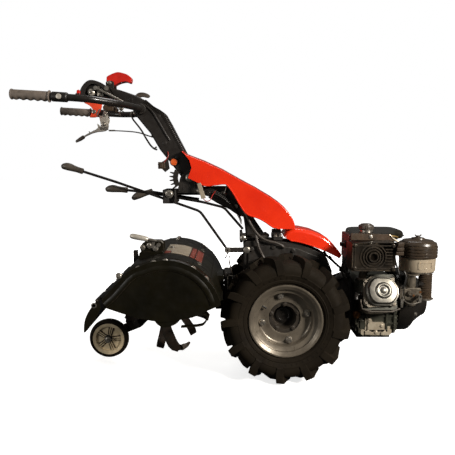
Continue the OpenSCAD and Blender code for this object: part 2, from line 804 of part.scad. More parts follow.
module clutch_lever() {
  blade = [[-792, 1036], [-766, 1036], [-760, 1002], [-770, 990], [-812, 982], [-862, 964],
           [-911, 944], [-909, 952], [-862, 982], [-824, 1004], [-806, 1026], [-798, 1010]];
  color("gainsboro") place() {
    slab(blade, 258, 272);
    y_disc(clutch_x, clutch_z, 249, 281, 5);
  }
}

module latch_lever() {
  plate = [[-858, 1120], [-842, 1098], [-836, 1058], [-812, 1052], [-800, 1066], [-784, 1092],
           [-782, 1108], [-820, 1112]];
  color("orangered") place() {
    slab(plate, 228, 240.5);
    y_disc(latch_x, latch_z, 228, 251, 5);
  }
}

// A selector rod with a pear-shaped knob at its rear end.
module selector(path) {
  color([0.13, 0.12, 0.12]) place() {
    bent_bar(path, 6);
    translate(path[0]) rotate([0, acos(way(path, 0)[2]), atan2(way(path, 0)[1], way(path, 0)[0])])
      rotate_extrude() polygon([[0, -13], [8, -11], [13, -4], [15, 12], [14, 26], [11, 50], [11, 76],
        [0, 76]]);
  }
}

gear_path = [[-862, -62, 838], [-656, -62, 772], [-331, -62, 668], [-240, -58, 530]];
lock_path = [[-698, -30, 748], [-540, -30, 731], [-320, -30, 698], [-240, -34, 672], [-178, -37, 594]];
speed_path = [[-606, 42, 712], [-540, 42, 731], [-340, 42, 700]];

module gear_rod() selector(gear_path);
module lock_rod() selector(lock_path);
module speed_rod() selector(speed_path);

// ---- cables and hoses, each held at both ends ----

clutch_route = [
  [-750, 265, 997], [-728, 262, 996], [-690, 240, 993], [-650, 200, 988], [-612, 150, 981],
  [-580, 105, 972], [-556, 74, 963], [-534, 58, 957], [-534, 42.2, 957]
];
column_route = [
  [-640, 193, 1048], [-632, 180, 1036], [-616, 150, 1020], [-596, 112, 1000], [-578, 76, 980],
  [-562, 46, 958], [-546, 22, 936], [-532, 8, 918], [-518, 2, 906], [-506, 0, 902]
];
upper_hose = [
  [-166, -30.2, 668], [-166, -40, 668], [-150, -54, 648], [-132, -62, 612], [-114, -70, 582],
  [-90, -75, 556], [-60, -78, 541], [-30, -78, 534], [-8, -78, 524], [2, -76, 516], [2, -66.2, 516]
];
lower_hose = [
  [-136, -30.2, 618], [-136, -40, 618], [-122, -58, 592], [-110, -68, 566], [-104, -76, 540],
  [-96, -78, 512], [-84, -76, 486], [-74, -76, 468], [-74, -66.2, 468]
];

module control_cables() {
  color([0.15, 0.14, 0.13]) place() {
    bent_bar(clutch_route, 1.6, 8);
    bent_bar(column_route, 2.5, 8);
  }
}

module hoses() {
  color([0.3, 0.26, 0.23]) place() {
    bent_bar(upper_hose, 5.5, 10);
    bent_bar(lower_hose, 5, 10);
  }
}

tyre(-1);  // tyre_right
tyre(1);  // tyre_left
rim(-1);  // rim_right
rim(1);  // rim_left
hub(-1);  // hub_right
hub(1);  // hub_left
wheel_bolts(-1);  // wheel_bolts_right
wheel_bolts(1);  // wheel_bolts_left
gearbox_case();
gearbox_cover();
bell_housing();
front_fairing();
implement_coupling();
drive_shaft();
engine_base();
crankcase();
cylinder_head();
valve_cover();
muffler();
muffler_guard();
fuel_tank();
fuel_cap();
fan_shroud();
starter_handle();
carburettor();
air_bowl();
air_cover();
air_intake();
hoses();
engine_panel();
control_cables();
tiller_hood();
side_plate(-1);  // side_plate_right
side_plate(1);  // side_plate_left
tiller_drive();
rotor_shaft();
tines();
rear_flap();
depth_arm();
depth_tyre();
depth_rim();
clamp_bracket();
clamp_lever();
shift_arm();
steering_frame();
height_sector();
hood();
column();
console();
handle(-1);  // handle_right
handle(1);  // handle_left
grip(-1);  // grip_right
grip(1);  // grip_left
stop_lever();
reverse_lever();
clutch_lever();
latch_lever();
gear_rod();
lock_rod();
speed_rod();
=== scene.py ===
"""Looks of a two-wheel walking tractor with a rear tiller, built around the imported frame."""

import json
import math

import bmesh
import bpy
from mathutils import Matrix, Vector


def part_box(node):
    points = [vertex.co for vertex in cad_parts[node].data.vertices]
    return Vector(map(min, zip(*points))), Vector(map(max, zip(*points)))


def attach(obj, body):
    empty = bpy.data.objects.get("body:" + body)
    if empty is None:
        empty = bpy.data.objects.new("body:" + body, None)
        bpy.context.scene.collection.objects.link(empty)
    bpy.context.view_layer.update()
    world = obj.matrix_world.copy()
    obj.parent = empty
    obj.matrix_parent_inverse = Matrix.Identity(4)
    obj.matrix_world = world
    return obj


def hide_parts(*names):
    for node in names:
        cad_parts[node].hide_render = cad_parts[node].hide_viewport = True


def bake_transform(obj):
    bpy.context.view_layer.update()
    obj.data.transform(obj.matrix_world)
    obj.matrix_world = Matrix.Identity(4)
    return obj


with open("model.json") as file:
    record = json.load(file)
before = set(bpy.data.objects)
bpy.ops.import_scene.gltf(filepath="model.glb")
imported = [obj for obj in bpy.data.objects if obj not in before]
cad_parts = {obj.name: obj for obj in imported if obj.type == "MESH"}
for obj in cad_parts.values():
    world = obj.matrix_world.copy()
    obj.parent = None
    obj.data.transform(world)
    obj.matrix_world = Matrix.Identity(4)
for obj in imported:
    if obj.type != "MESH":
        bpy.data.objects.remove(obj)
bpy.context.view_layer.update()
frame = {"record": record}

# ---- places, in millimetres, with X counted from the wheel axle ----

MM = 0.001
TYRE_LOW, TYRE_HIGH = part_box("tyre_right")
AXLE_X = (TYRE_LOW.x + TYRE_HIGH.x) / 2 / MM
AXLE_Z = (TYRE_LOW.z + TYRE_HIGH.z) / 2 / MM
TRACK = -(TYRE_LOW.y + TYRE_HIGH.y) / 2 / MM
BODIES = frame["record"]["behaviour"]["bodies"]
BODY_OF = {node: body for body, nodes in BODIES.items() for node in nodes}
SIDES = {"right": -1, "left": 1}


def at(x, y, z):
    """A point given in millimetres from the wheel axle, in the row frame."""
    return Vector(((x + AXLE_X) * MM, y * MM, z * MM))


# ---- materials ----

def new_node(tree, kind, **values):
    node = tree.nodes.new("ShaderNode" + kind)
    for key, value in values.items():
        if key in node.inputs:
            node.inputs[key].default_value = value
        else:
            setattr(node, key, value)
    return node


def blend_colours(tree, factor, first, second):
    """first where factor is 0 and second where it is 1. Each is a colour or a socket."""
    mix = new_node(tree, "Mix", data_type="RGBA")
    tree.links.new(factor, mix.inputs[0])
    for socket, value in ((mix.inputs[6], first), (mix.inputs[7], second)):
        if isinstance(value, tuple):
            socket.default_value = (*value, 1)
        else:
            tree.links.new(value, socket)
    return mix.outputs[2]


def spread(tree, value, low, high, to_low=0.0, to_high=1.0):
    """value, stretched so that low becomes to_low and high becomes to_high."""
    node = new_node(tree, "MapRange", **{"From Min": low, "From Max": high, "To Min": to_low,
                                         "To Max": to_high})
    tree.links.new(value, node.inputs["Value"])
    return node.outputs["Result"]


def times(tree, a, b):
    node = new_node(tree, "Math", operation="MULTIPLY")
    tree.links.new(a, node.inputs[0])
    tree.links.new(b, node.inputs[1])
    return node.outputs[0]


def cloud(tree, where, scale, detail=4.0, rough=0.6):
    node = new_node(tree, "TexNoise", Scale=scale, Detail=detail, Roughness=rough)
    tree.links.new(where, node.inputs["Vector"])
    return node.outputs["Fac"]


DUST = (0.075, 0.056, 0.038)


def finish_of(name, colour, shade, rough, metal=0.0, coat=0.0, grain=(900, 0.04), mottle=14,
              dust=0.35, wear=None, wear_amount=0.6, stretch=None, specular=0.5, see_through=0.0,
              orange_peel=0.0):
    """A material of two mixed shades with grain, dust on what faces up and wear along edges.

    rough is the roughness of the clean and of the dull places, grain is (scale, height),
    and stretch draws the grain out along one direction, as in brushed or rolled metal.
    """
    made = bpy.data.materials.new(name)
    made.use_nodes = True
    tree = made.node_tree
    shader = tree.nodes["Principled BSDF"]
    where = new_node(tree, "TexCoord").outputs["Object"]
    broad = spread(tree, cloud(tree, where, mottle), 0.35, 0.68)
    look = blend_colours(tree, broad, colour, shade)
    geometry = new_node(tree, "NewGeometry")
    roughness = spread(tree, cloud(tree, where, mottle * 3.1, 6), 0.3, 0.75, *rough)
    if dust:
        facing = new_node(tree, "SeparateXYZ")
        tree.links.new(geometry.outputs["Normal"], facing.inputs[0])
        upward = spread(tree, facing.outputs["Z"], -0.3, 1.0, 0.15, 1.0)
        patches = spread(tree, cloud(tree, where, 22, 8, 0.7), 0.42, 0.78, 0.0, dust)
        settled = times(tree, upward, patches)
        look = blend_colours(tree, settled, look, DUST)
    if wear:
        edge = new_node(tree, "Bevel", samples=4, Radius=0.0022)
        meet = new_node(tree, "VectorMath", operation="DOT_PRODUCT")
        tree.links.new(edge.outputs["Normal"], meet.inputs[0])
        tree.links.new(geometry.outputs["Normal"], meet.inputs[1])
        sharp = spread(tree, meet.outputs["Value"], 0.985, 0.88)
        broken = spread(tree, cloud(tree, where, 120, 8, 0.7), 0.45, 0.62, 0.0, wear_amount)
        look = blend_colours(tree, times(tree, sharp, broken), look, wear)
    tree.links.new(look, shader.inputs["Base Color"])
    tree.links.new(roughness, shader.inputs["Roughness"])
    grain_at = where
    if stretch:
        pulled = new_node(tree, "Mapping", Scale=stretch)
        tree.links.new(where, pulled.inputs["Vector"])
        grain_at = pulled.outputs["Vector"]
    bump = new_node(tree, "Bump", Strength=0.5, Distance=grain[1] * MM)
    tree.links.new(cloud(tree, grain_at, grain[0], 6, 0.6), bump.inputs["Height"])
    last = bump
    if orange_peel:
        wave = new_node(tree, "Bump", Strength=0.4, Distance=orange_peel * MM)
        tree.links.new(cloud(tree, where, 60, 2, 0.5), wave.inputs["Height"])
        tree.links.new(bump.outputs["Normal"], wave.inputs["Normal"])
        last = wave
    tree.links.new(last.outputs["Normal"], shader.inputs["Normal"])
    shader.inputs["Metallic"].default_value = metal
    shader.inputs["Coat Weight"].default_value = coat
    shader.inputs["Coat Roughness"].default_value = 0.08
    shader.inputs["Specular IOR Level"].default_value = specular
    shader.inputs["Transmission Weight"].default_value = see_through
    return made


LOOKS = {
    "tyre_rubber": finish_of("tyre_rubber", (0.013, 0.0095, 0.0055), (0.007, 0.005, 0.003), (0.6, 0.9),
                             grain=(700, 0.35), mottle=9, dust=0.14, specular=0.1),
    "rim_steel": finish_of("rim_steel", (0.20, 0.17, 0.13), (0.13, 0.11, 0.085), (0.26, 0.46), metal=0.45,
                           grain=(500, 0.06), mottle=18, dust=0.2, wear=(0.30, 0.26, 0.20)),
    "cream_plastic": finish_of("cream_plastic", (0.78, 0.64, 0.42), (0.56, 0.45, 0.28), (0.4, 0.65),
                               grain=(900, 0.08), mottle=30, dust=0.3),
    "cast_black": finish_of("cast_black", (0.010, 0.009, 0.008), (0.020, 0.016, 0.013), (0.35, 0.65),
                            grain=(420, 0.5), mottle=20, dust=0.25, wear=(0.075, 0.056, 0.042), specular=0.4),
    "hub_black": finish_of("hub_black", (0.016, 0.013, 0.010), (0.034, 0.027, 0.020), (0.35, 0.6),
                           grain=(420, 0.5), mottle=26, dust=0.3, wear=(0.15, 0.12, 0.09), specular=0.4),
    "zinc": finish_of("zinc", (0.46, 0.43, 0.38), (0.28, 0.25, 0.21), (0.22, 0.42), metal=0.85,
                      grain=(1500, 0.05), mottle=60, dust=0.15),
    "orange_paint": finish_of("orange_paint", (0.84, 0.034, 0.006), (0.70, 0.022, 0.004), (0.14, 0.30),
                              coat=0.6, grain=(2400, 0.01), mottle=8, dust=0.04, orange_peel=0.25,
                              wear=(0.60, 0.16, 0.08), wear_amount=0.4),
    "dark_red_paint": finish_of("dark_red_paint", (0.16, 0.008, 0.006), (0.10, 0.006, 0.005), (0.25, 0.45),
                                coat=0.3, grain=(1800, 0.02), mottle=14, dust=0.1, wear=(0.2, 0.06, 0.04)),
    "red_plastic": finish_of("red_plastic", (0.62, 0.018, 0.010), (0.46, 0.012, 0.007), (0.22, 0.4),
                             coat=0.3, grain=(1500, 0.03), mottle=22, dust=0.05),
    "orange_plastic": finish_of("orange_plastic", (0.86, 0.085, 0.025), (0.72, 0.05, 0.015), (0.25, 0.45),
                                grain=(1500, 0.03), mottle=22, dust=0.05),
    "cast_alloy": finish_of("cast_alloy", (0.17, 0.145, 0.11), (0.065, 0.054, 0.041), (0.35, 0.6), metal=0.55,
                            grain=(650, 0.35), mottle=34, dust=0.25, wear=(0.5, 0.46, 0.4)),
    "engine_grey": finish_of("engine_grey", (0.050, 0.050, 0.036), (0.024, 0.024, 0.017), (0.35, 0.6),
                             metal=0.3,
                             grain=(650, 0.35), mottle=34, dust=0.25, wear=(0.2, 0.18, 0.14)),
    "machined_alloy": finish_of("machined_alloy", (0.27, 0.255, 0.225), (0.17, 0.16, 0.135), (0.3, 0.48),
                                metal=0.9, grain=(900, 0.05), mottle=16, dust=0.06),
    "base_steel": finish_of("base_steel", (0.48, 0.42, 0.32), (0.30, 0.25, 0.18), (0.3, 0.55), metal=0.3,
                            grain=(500, 0.15), mottle=26, dust=0.2, wear=(0.16, 0.11, 0.07)),
    "exhaust": finish_of("exhaust", (0.040, 0.031, 0.022), (0.016, 0.013, 0.010), (0.28, 0.55), metal=0.5,
                         grain=(300, 0.3), mottle=22, dust=0.15, wear=(0.20, 0.15, 0.10)),
    "tank_black": finish_of("tank_black", (0.007, 0.006, 0.0035), (0.012, 0.0095, 0.005), (0.2, 0.36),
                            coat=0.3, grain=(1500, 0.02), mottle=10, dust=0.06, orange_peel=0.15),
    "black_plastic": finish_of("black_plastic", (0.011, 0.009, 0.008), (0.018, 0.015, 0.013), (0.32, 0.52),
                               grain=(1300, 0.22), mottle=16, dust=0.15, wear=(0.05, 0.042, 0.036),
                               specular=0.4),
    "gloss_plastic": finish_of("gloss_plastic", (0.008, 0.007, 0.006), (0.014, 0.012, 0.010), (0.18, 0.35),
                               grain=(1300, 0.05), mottle=16, dust=0.1),
    "air_brown": finish_of("air_brown", (0.052, 0.036, 0.024), (0.028, 0.020, 0.014), (0.22, 0.42),
                           grain=(1300, 0.1), mottle=16, dust=0.15, wear=(0.22, 0.15, 0.08)),
    "smoke_plastic": finish_of("smoke_plastic", (0.50, 0.42, 0.31), (0.34, 0.27, 0.19), (0.16, 0.34),
                               grain=(900, 0.03), mottle=12, dust=0.1, see_through=0.2),
    "tiller_sheet": finish_of("tiller_sheet", (0.0075, 0.0062, 0.0028), (0.0038, 0.0034, 0.0018), (0.24, 0.5),
                              coat=0.04, grain=(520, 0.2), mottle=11, dust=0.05, orange_peel=0.4,
                              wear=(0.06, 0.042, 0.026), specular=0.22),
    "tine_steel": finish_of("tine_steel", (0.016, 0.012, 0.008), (0.026, 0.014, 0.008), (0.4, 0.75),
                            metal=0.35,
                            grain=(380, 0.5), mottle=40, dust=0.15, wear=(0.2, 0.18, 0.15), wear_amount=0.9),
    "tube_black": finish_of("tube_black", (0.009, 0.008, 0.007), (0.016, 0.013, 0.011), (0.2, 0.4),
                            coat=0.3, grain=(900, 0.05), mottle=30, dust=0.08, wear=(0.1, 0.085, 0.07)),
    "rod_black": finish_of("rod_black", (0.006, 0.005, 0.0045), (0.011, 0.009, 0.008), (0.6, 0.85),
                           grain=(900, 0.05), mottle=30, dust=0.04, wear=(0.05, 0.042, 0.036), specular=0.12),
    "cable_sleeve": finish_of("cable_sleeve", (0.055, 0.044, 0.036), (0.035, 0.028, 0.023), (0.35, 0.55),
                              grain=(1500, 0.05), mottle=40, dust=0.15),
    "wire_black": finish_of("wire_black", (0.009, 0.008, 0.007), (0.016, 0.013, 0.011), (0.3, 0.5),
                            grain=(1500, 0.03), mottle=40, dust=0.1),
    "wire_red": finish_of("wire_red", (0.36, 0.016, 0.010), (0.22, 0.010, 0.007), (0.35, 0.5),
                          grain=(1500, 0.03), mottle=40, dust=0.06),
    "grip_rubber": finish_of("grip_rubber", (0.19, 0.155, 0.128), (0.105, 0.085, 0.070), (0.4, 0.7),
                             grain=(1100, 0.3), mottle=30, dust=0.2),
    "knob_plastic": finish_of("knob_plastic", (0.085, 0.070, 0.056), (0.040, 0.033, 0.027), (0.26, 0.48),
                              grain=(900, 0.1), mottle=30, dust=0.15),
    "lever_alloy": finish_of("lever_alloy", (0.68, 0.63, 0.55), (0.50, 0.46, 0.39), (0.28, 0.48), metal=0.5,
                             grain=(700, 0.12), mottle=40, dust=0.12, wear=(0.7, 0.66, 0.6)),
    "brass": finish_of("brass", (0.20, 0.075, 0.018), (0.11, 0.042, 0.012), (0.25, 0.5), metal=0.4,
                       grain=(900, 0.08), mottle=50, dust=0.2),
    # painted highlight: gold used for the glint strip along the tank's edge
    "painted_gold_highlight": finish_of("painted_gold_highlight", (0.34, 0.22, 0.07), (0.22, 0.14, 0.045), (0.25, 0.45), metal=0.5,
                      grain=(900, 0.08), mottle=50, dust=0.1),
    "umber_plastic": finish_of("umber_plastic", (0.060, 0.036, 0.020), (0.030, 0.020, 0.012), (0.3, 0.55),
                               grain=(900, 0.1), mottle=40, dust=0.15),
    "label_cream": finish_of("label_cream", (0.33, 0.28, 0.21), (0.26, 0.215, 0.155), (0.4, 0.6),
                             grain=(1500, 0.02), mottle=26, dust=0.15),
    "label_red": finish_of("label_red", (0.22, 0.040, 0.024), (0.16, 0.03, 0.018), (0.4, 0.6),
                           grain=(1500, 0.02), mottle=26, dust=0.15),
    "reflector": finish_of("reflector", (0.85, 0.16, 0.03), (0.66, 0.10, 0.02), (0.08, 0.2),
                           coat=0.8, grain=(260, 0.5), mottle=60, dust=0.03),
}


# ---- shapes ----

class Shape:
    """Points and faces, in millimetres, with X counted from the wheel axle."""

    def __init__(self):
        self.points, self.faces = [], []

    def add(self, points, faces):
        first = len(self.points)
        self.points += [Vector(p) for p in points]
        self.faces += [[first + i for i in face] for face in faces]
        return self

    def rings(self, rings, joined=False, open_ring=False, capped=True):
        """Walls between rings of equal length. joined leads from the last ring to the first."""
        count, size = len(rings), len(rings[0])
        faces = []
        for i in range(count if joined else count - 1):
            for k in range(size - 1 if open_ring else size):
                here, there = i * size, (i + 1) % count * size
                faces.append([here + k, here + (k + 1) % size, there + (k + 1) % size, there + k])
        if capped and not joined:
            faces += [list(range(size))[::-1], [(count - 1) * size + k for k in range(size)]]
        return self.add([p for ring in rings for p in ring], faces)

    def prism(self, outline, y0, y1):
        """An outline in the X-Z plane, from y0 to y1."""
        return self.rings([[(x, y, z) for x, z in outline] for y in (y0, y1)])

    def box(self, low, high):
        return self.prism([(low[0], low[2]), (high[0], low[2]), (high[0], high[2]), (low[0], high[2])],
                          low[1], high[1])

    def tube(self, path, radius, sides=12):
        """A round bar along a path. radius is one number, or one for each point."""
        path = [Vector(p) for p in path]
        radii = radius if isinstance(radius, (list, tuple)) else [radius] * len(path)
        way = (path[1] - path[0]).normalized()
        across = way.orthogonal().normalized()
        made = []
        for i, point in enumerate(path):
            before, after = path[max(i - 1, 0)], path[min(i + 1, len(path) - 1)]
            now = (after - before).normalized()
            across = way.rotation_difference(now) @ across
            across = (across - now * across.dot(now)).normalized()
            up = now.cross(across)
            made.append([point + (across * math.cos(t) + up * math.sin(t)) * radii[i]
                         for t in (2 * math.pi * k / sides for k in range(sides))])
            way = now
        return self.rings(made)

    def spin(self, profile, centre, axis, steps=48, closed=False, turn=0.0):
        """A profile of (radius, height) turned about an axis. A closed profile makes a ring."""
        axis, centre = Vector(axis).normalized(), Vector(centre)
        across = axis.orthogonal().normalized()
        up = axis.cross(across)
        made = []
        for i in range(steps):
            t = 2 * math.pi * i / steps + turn
            out = across * math.cos(t) + up * math.sin(t)
            made.append([centre + out * r + axis * h for r, h in profile])
        return self.rings(made, joined=True, open_ring=not closed)

    def disc(self, centre, axis, radius, height, edge=1.0, steps=32):
        """A round plate standing on centre, with rounded edges."""
        return self.spin([(0, 0), (radius - edge, 0), (radius, edge), (radius, height - edge),
                          (radius - edge * 0.3, height - edge * 0.3), (radius - edge, height), (0, height)],
                         centre, axis, steps)

    def hexagon(self, centre, axis, across, height, washer=True):
        """A bolt head with its washer."""
        r = across * 0.577
        if washer:
            self.disc(centre, axis, across * 0.85, 1.8, 0.5, 20)
        base = 1.8 if washer else 0.0
        return self.spin([(0, base), (r, base), (r, height * 0.75), (r * 0.84, height), (0, height)],
                         centre, axis, 6)


def arc(x, z, r, start, end, steps):
    """Points of an arc in the X-Z plane. Angles are in degrees."""
    turns = [math.radians(start + (end - start) * i / steps) for i in range(steps + 1)]
    return [(x + r * math.cos(t), z + r * math.sin(t)) for t in turns]


def flowing(points, steps=6):
    """A smooth curve through points of any dimension."""
    points = [Vector(p) for p in points]
    made = []
    for i in range(len(points) - 1):
        a, b = points[max(i - 1, 0)], points[i]
        c, d = points[i + 1], points[min(i + 2, len(points) - 1)]
        for k in range(steps):
            t = k / steps
            made.append(0.5 * ((2 * b) + (c - a) * t + (2 * a - 5 * b + 4 * c - d) * t ** 2
                               + (3 * b - a - 3 * c + d) * t ** 3))
    return made + [points[-1]]


def eased(points, radius, steps=6):
    """A path with each corner rounded off, as a bent rod has."""
    points = [Vector(p) for p in points]
    made = [points[0]]
    for before, corner, after in zip(points, points[1:], points[2:]):
        reach = min(radius, (before - corner).length / 2.2, (after - corner).length / 2.2)
        start = corner + (before - corner).normalized() * reach
        end = corner + (after - corner).normalized() * reach
        for k in range(steps + 1):
            t = k / steps
            made.append(start * (1 - t) ** 2 + corner * 2 * t * (1 - t) + end * t ** 2)
    return made + [points[-1]]


def make(name, shape, look, body=None, replaces=(), bevel=0.0, segments=2, subdivide=0, sharp=32,
         rounded_edges=None, shell=0.0, between=None):
    """A piece made from a shape, riding on its body.

    rounded_edges is (radius, test): the edges whose two ends pass the test are rounded to that
    radius. shell is the sheet thickness of a piece drawn as an open surface. between is (body,
    start, end), of which only its being given is used: the piece is then put on no body.
    start, end) for a piece that goes from that body to the chassis and bends on the way.
    """
    work = bmesh.new()
    points = [work.verts.new(at(*p)) for p in shape.points]
    for face in shape.faces:
        work.faces.new([points[i] for i in face])
    bmesh.ops.remove_doubles(work, verts=work.verts, dist=0.02 * MM)
    bmesh.ops.recalc_face_normals(work, faces=work.faces)
    mesh = bpy.data.meshes.new(name)
    if rounded_edges:
        layer = work.edges.layers.float.new("bevel_weight_edge")
        for edge in work.edges:
            ends = [Vector((v.co.x / MM - AXLE_X, v.co.y / MM, v.co.z / MM)) for v in edge.verts]
            edge[layer] = 1.0 if rounded_edges[1](*ends) else 0.0
    work.to_mesh(mesh)
    work.free()
    mesh.shade_smooth()
    mesh.materials.append(LOOKS[look])
    piece = bpy.data.objects.new(name, mesh)
    bpy.context.scene.collection.objects.link(piece)
    if rounded_edges:
        big = piece.modifiers.new("rounding", "BEVEL")
        big.width, big.segments, big.limit_method = rounded_edges[0] * MM, 6, "WEIGHT"
        big.harden_normals = not (bevel or shell)
    if shell:
        thick = piece.modifiers.new("sheet", "SOLIDIFY")
        thick.thickness, thick.offset = shell * MM, -1
    if subdivide:
        finer = piece.modifiers.new("finer", "SUBSURF")
        finer.levels = finer.render_levels = subdivide
    if bevel:
        small = piece.modifiers.new("edges", "BEVEL")
        small.width, small.segments = bevel * MM, segments
        small.limit_method, small.angle_limit = "ANGLE", math.radians(sharp)
        small.harden_normals = True
    elif shell:
        piece.modifiers.new("shading", "WEIGHTED_NORMAL")
    elif not subdivide and not rounded_edges:
        mesh.set_sharp_from_angle(angle=math.radians(sharp))
    node_names = [replaces] if isinstance(replaces, str) else list(replaces)
    if between:
        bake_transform(piece)
    else:
        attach(piece, body or BODY_OF[node_names[0]])
    if node_names:
        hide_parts(*node_names)
    return piece


# ---- drive wheels ----

LIP_R = 141            # radius of the rim's rolled lip
DISC_Y = -2            # face of the wheel disc, outward from the middle of the tyre
BOLT_TURN = 12         # degrees by which the wheel bolts are turned
LUGS = 13


def wheel_frame(side):
    """(centre of the wheel, its outward direction)."""
    return Vector((0, side * TRACK, AXLE_Z)), Vector((0, side, 0))


def on_wheel(side, radius, turn, outward):
    """A point on a wheel. turn is in degrees up from the front."""
    t = math.radians(turn)
    return Vector((radius * math.cos(t), side * (TRACK + outward), AXLE_Z + radius * math.sin(t)))


def tyre(word, side):
    wall = [(127, 36), (128, 40), (139, 42.5), (146, 44), (148, 47), (152, 51), (158, 52.5), (159, 54),
            (162, 54), (163, 53.5), (174, 57.5), (178, 58.5), (179, 60), (182, 60), (183, 59.4), (196, 61.5),
            (208, 58.5), (217, 52.5), (223, 45), (227, 34), (229, 18)]
    outer = [(r, -h) for r, h in wall] + [(229.5, 0)] + wall[::-1]
    inner = [(127, 34), (138, 36), (176, 48), (204, 42), (216, 18), (216, -18), (204, -42), (176, -48),
             (138, -36), (127, -34)]
    centre, out = wheel_frame(side)
    shape = Shape().spin(outer + inner, centre, out, 144, closed=True)
    # each section of a lug: (across, radius) at its foot and at its crest, how far it leans, half widths
    sections = [((60, 180), (63.2, 183), 0, 17, 15), ((60, 196), (64.8, 200), 1, 18, 15.5),
                ((55, 211), (64.6, 226), 3, 18.5, 14), ((49, 220), (61, 242), 6, 18.5, 13),
                ((37, 225), (45, 248.6), 13, 18, 12.5), ((20, 228), (20, 249.6), 25, 16.5, 11.5),
                ((4, 228), (4, 250), 37, 15, 10.5), ((-7, 228), (-6, 249.8), 44, 14, 9.5)]
    for row in (-1, 1):
        for i in range(LUGS):
            start = 2 * math.pi * (i + (0.5 if row > 0 else 0)) / LUGS
            made = []
            for foot, crest, lean, low, high in sections:
                ring = []
                for (across, r), shift in ((foot, -low), (crest, -high), (crest, high), (foot, low)):
                    t = start + (lean + shift) / 235
                    ring.append((r * math.cos(t), side * (TRACK + row * across), AXLE_Z + r * math.sin(t)))
                made.append(ring)
            shape.rings(made)
    for i in range(48):
        rib = [on_wheel(side, r, 7.5 * i + d, h) for r, h in ((165, 54.6), (173, 57.9))
               for d in (-0.25, 0.25)]
        lift = out * 1.2
        shape.add([p - lift for p in rib] + [p + lift * 0.6 for p in rib],
                  [[0, 1, 3, 2], [4, 6, 7, 5], [0, 4, 5, 1], [2, 3, 7, 6], [0, 2, 6, 4], [1, 5, 7, 3]])
    make("tyre_" + word, shape, "tyre_rubber", replaces="tyre_" + word + "", sharp=28)


def rim(word, side):
    half = [(134, 49.5), (138, 50.5), (140.5, 50), (LIP_R + 1, 48), (LIP_R + 1, 46), (140, 44.6), (132, 43),
            (126.8, 40), (126.8, 31), (123, 28), (111, 24), (108, 20)]
    inside = [(104, 22), (107, 27), (119, 31), (122.6, 33), (122.8, 41), (127, 44.5), (131, 46)]
    profile = half + [(r, -h) for r, h in half[::-1]] + [(r, -h) for r, h in inside[::-1]] + inside
    centre, out = wheel_frame(side)
    shape = Shape().spin(profile, centre, out, 128, closed=True)
    disc = [(62, -7), (62, -3), (63.5, -1.4), (67, -1.2), (72, DISC_Y), (96, DISC_Y - 0.5), (101, 0),
            (105, 5),
            (105, -2), (100, -6), (72, -7.4)]
    shape.spin(disc, centre, out, 96, closed=True)
    for i in range(4):
        seat = on_wheel(side, 90, 90 * i + BOLT_TURN, DISC_Y - 0.5)
        shape.spin([(7, -0.5), (7.5, 1.6), (13, 1.4), (15, -0.5)], seat, out, 32)
    make("rim_" + word, shape, "rim_steel", replaces="rim_" + word, sharp=40)
    stem = Shape()
    root, tip = on_wheel(side, 107, 150, 9), on_wheel(side, 82, 150, 11)
    stem.tube([root, root.lerp(tip, 0.12), root.lerp(tip, 0.16), root.lerp(tip, 0.7)], [7, 6, 4, 3.4], 16)
    stem.tube([root.lerp(tip, 0.7), root.lerp(tip, 0.72), tip], [3.9, 4, 3.7], 12)
    make("valve_stem_" + word, stem, "wire_black", body="wheel_" + word)


def hub(word, side):
    centre, out = wheel_frame(side)
    drum = [(0, -54), (31, -54), (33, -53), (36, -53), (38, -54), (44, -54), (45, -52), (45, -12), (47, -8.5),
            (62, -7.6), (100, -7.2), (103, -9), (103, -14), (101, -15), (54, -15), (51, -18), (51, -59),
            (50, -60), (17.5, -60), (17.5, -131), (0, -131)]
    shape = Shape().spin(drum, centre, out, 72)
    for i in range(5):
        shape.hexagon(on_wheel(side, 54, 72 * i + 20, -7.6), out, 12, 7.5)
    make("hub_" + word, shape, "hub_black", replaces="hub_" + word, sharp=30)
    cap = Shape().spin([(0, -53.9), (30.6, -53.9), (30.6, -47), (29, -45.4), (22, -44.8), (20.5, -46),
                        (8, -46),
                        (7, -45), (0, -44.6)], centre, out, 64)
    make("hub_cap_" + word, cap, "gloss_plastic", body="wheel_" + word)
    bolts = Shape()
    for i in range(4):
        turn = 90 * i + BOLT_TURN
        head = on_wheel(side, 90, turn, DISC_Y)
        bolts.spin([(0, 0), (14, 0), (14, 2), (11.4, 3), (11.4, 12.5), (10, 14.2), (6.2, 14.8), (6, 13.6),
                    (0, 13.6)], head, out, 6)
        bolts.disc(head, out, 14.4, 2.4, 0.6, 24)
        bolts.tube([on_wheel(side, 90, turn, -23), head], 6, 12)
        bolts.spin([(0, 0), (11, 0), (11, 6), (9.5, 8), (0, 8)], on_wheel(side, 90, turn, -23), out, 6)
    make("wheel_bolts_" + word, bolts, "zinc", replaces="wheel_bolts_" + word, sharp=25)


for side_word, side_sign in SIDES.items():
    tyre(side_word, side_sign)
    rim(side_word, side_sign)
    hub(side_word, side_sign)

# ---- orange covers ----

HOOD_TOP = [(-398, 893), (-382, 879), (-350, 867), (-313, 853), (-244, 821), (-171, 780), (-110, 748),
            (-48, 711),
            (-18, 690), (5, 670), (24, 648), (36, 628), (43, 610), (46, 592)]
HOOD_BELOW = [(22, 589), (-23, 590), (-30, 595), (-43, 597), (-74, 618), (-102, 633), (-145, 649),
              (-173, 685),
              (-196, 726), (-222, 761), (-240, 767), (-302, 760), (-329, 767), (-376, 790), (-362, 829),
              (-370, 858)]
FAIRING_TOP = [(2, 556), (8, 566), (18, 578), (36, 587), (56, 588), (76, 586), (117, 577), (159, 559),
               (184, 542),
               (204, 522), (222, 501), (236, 482)]
FAIRING_BELOW = [(226, 471), (216, 478), (192, 490), (169, 501), (144, 511), (117, 521), (68, 536), (30, 542)]


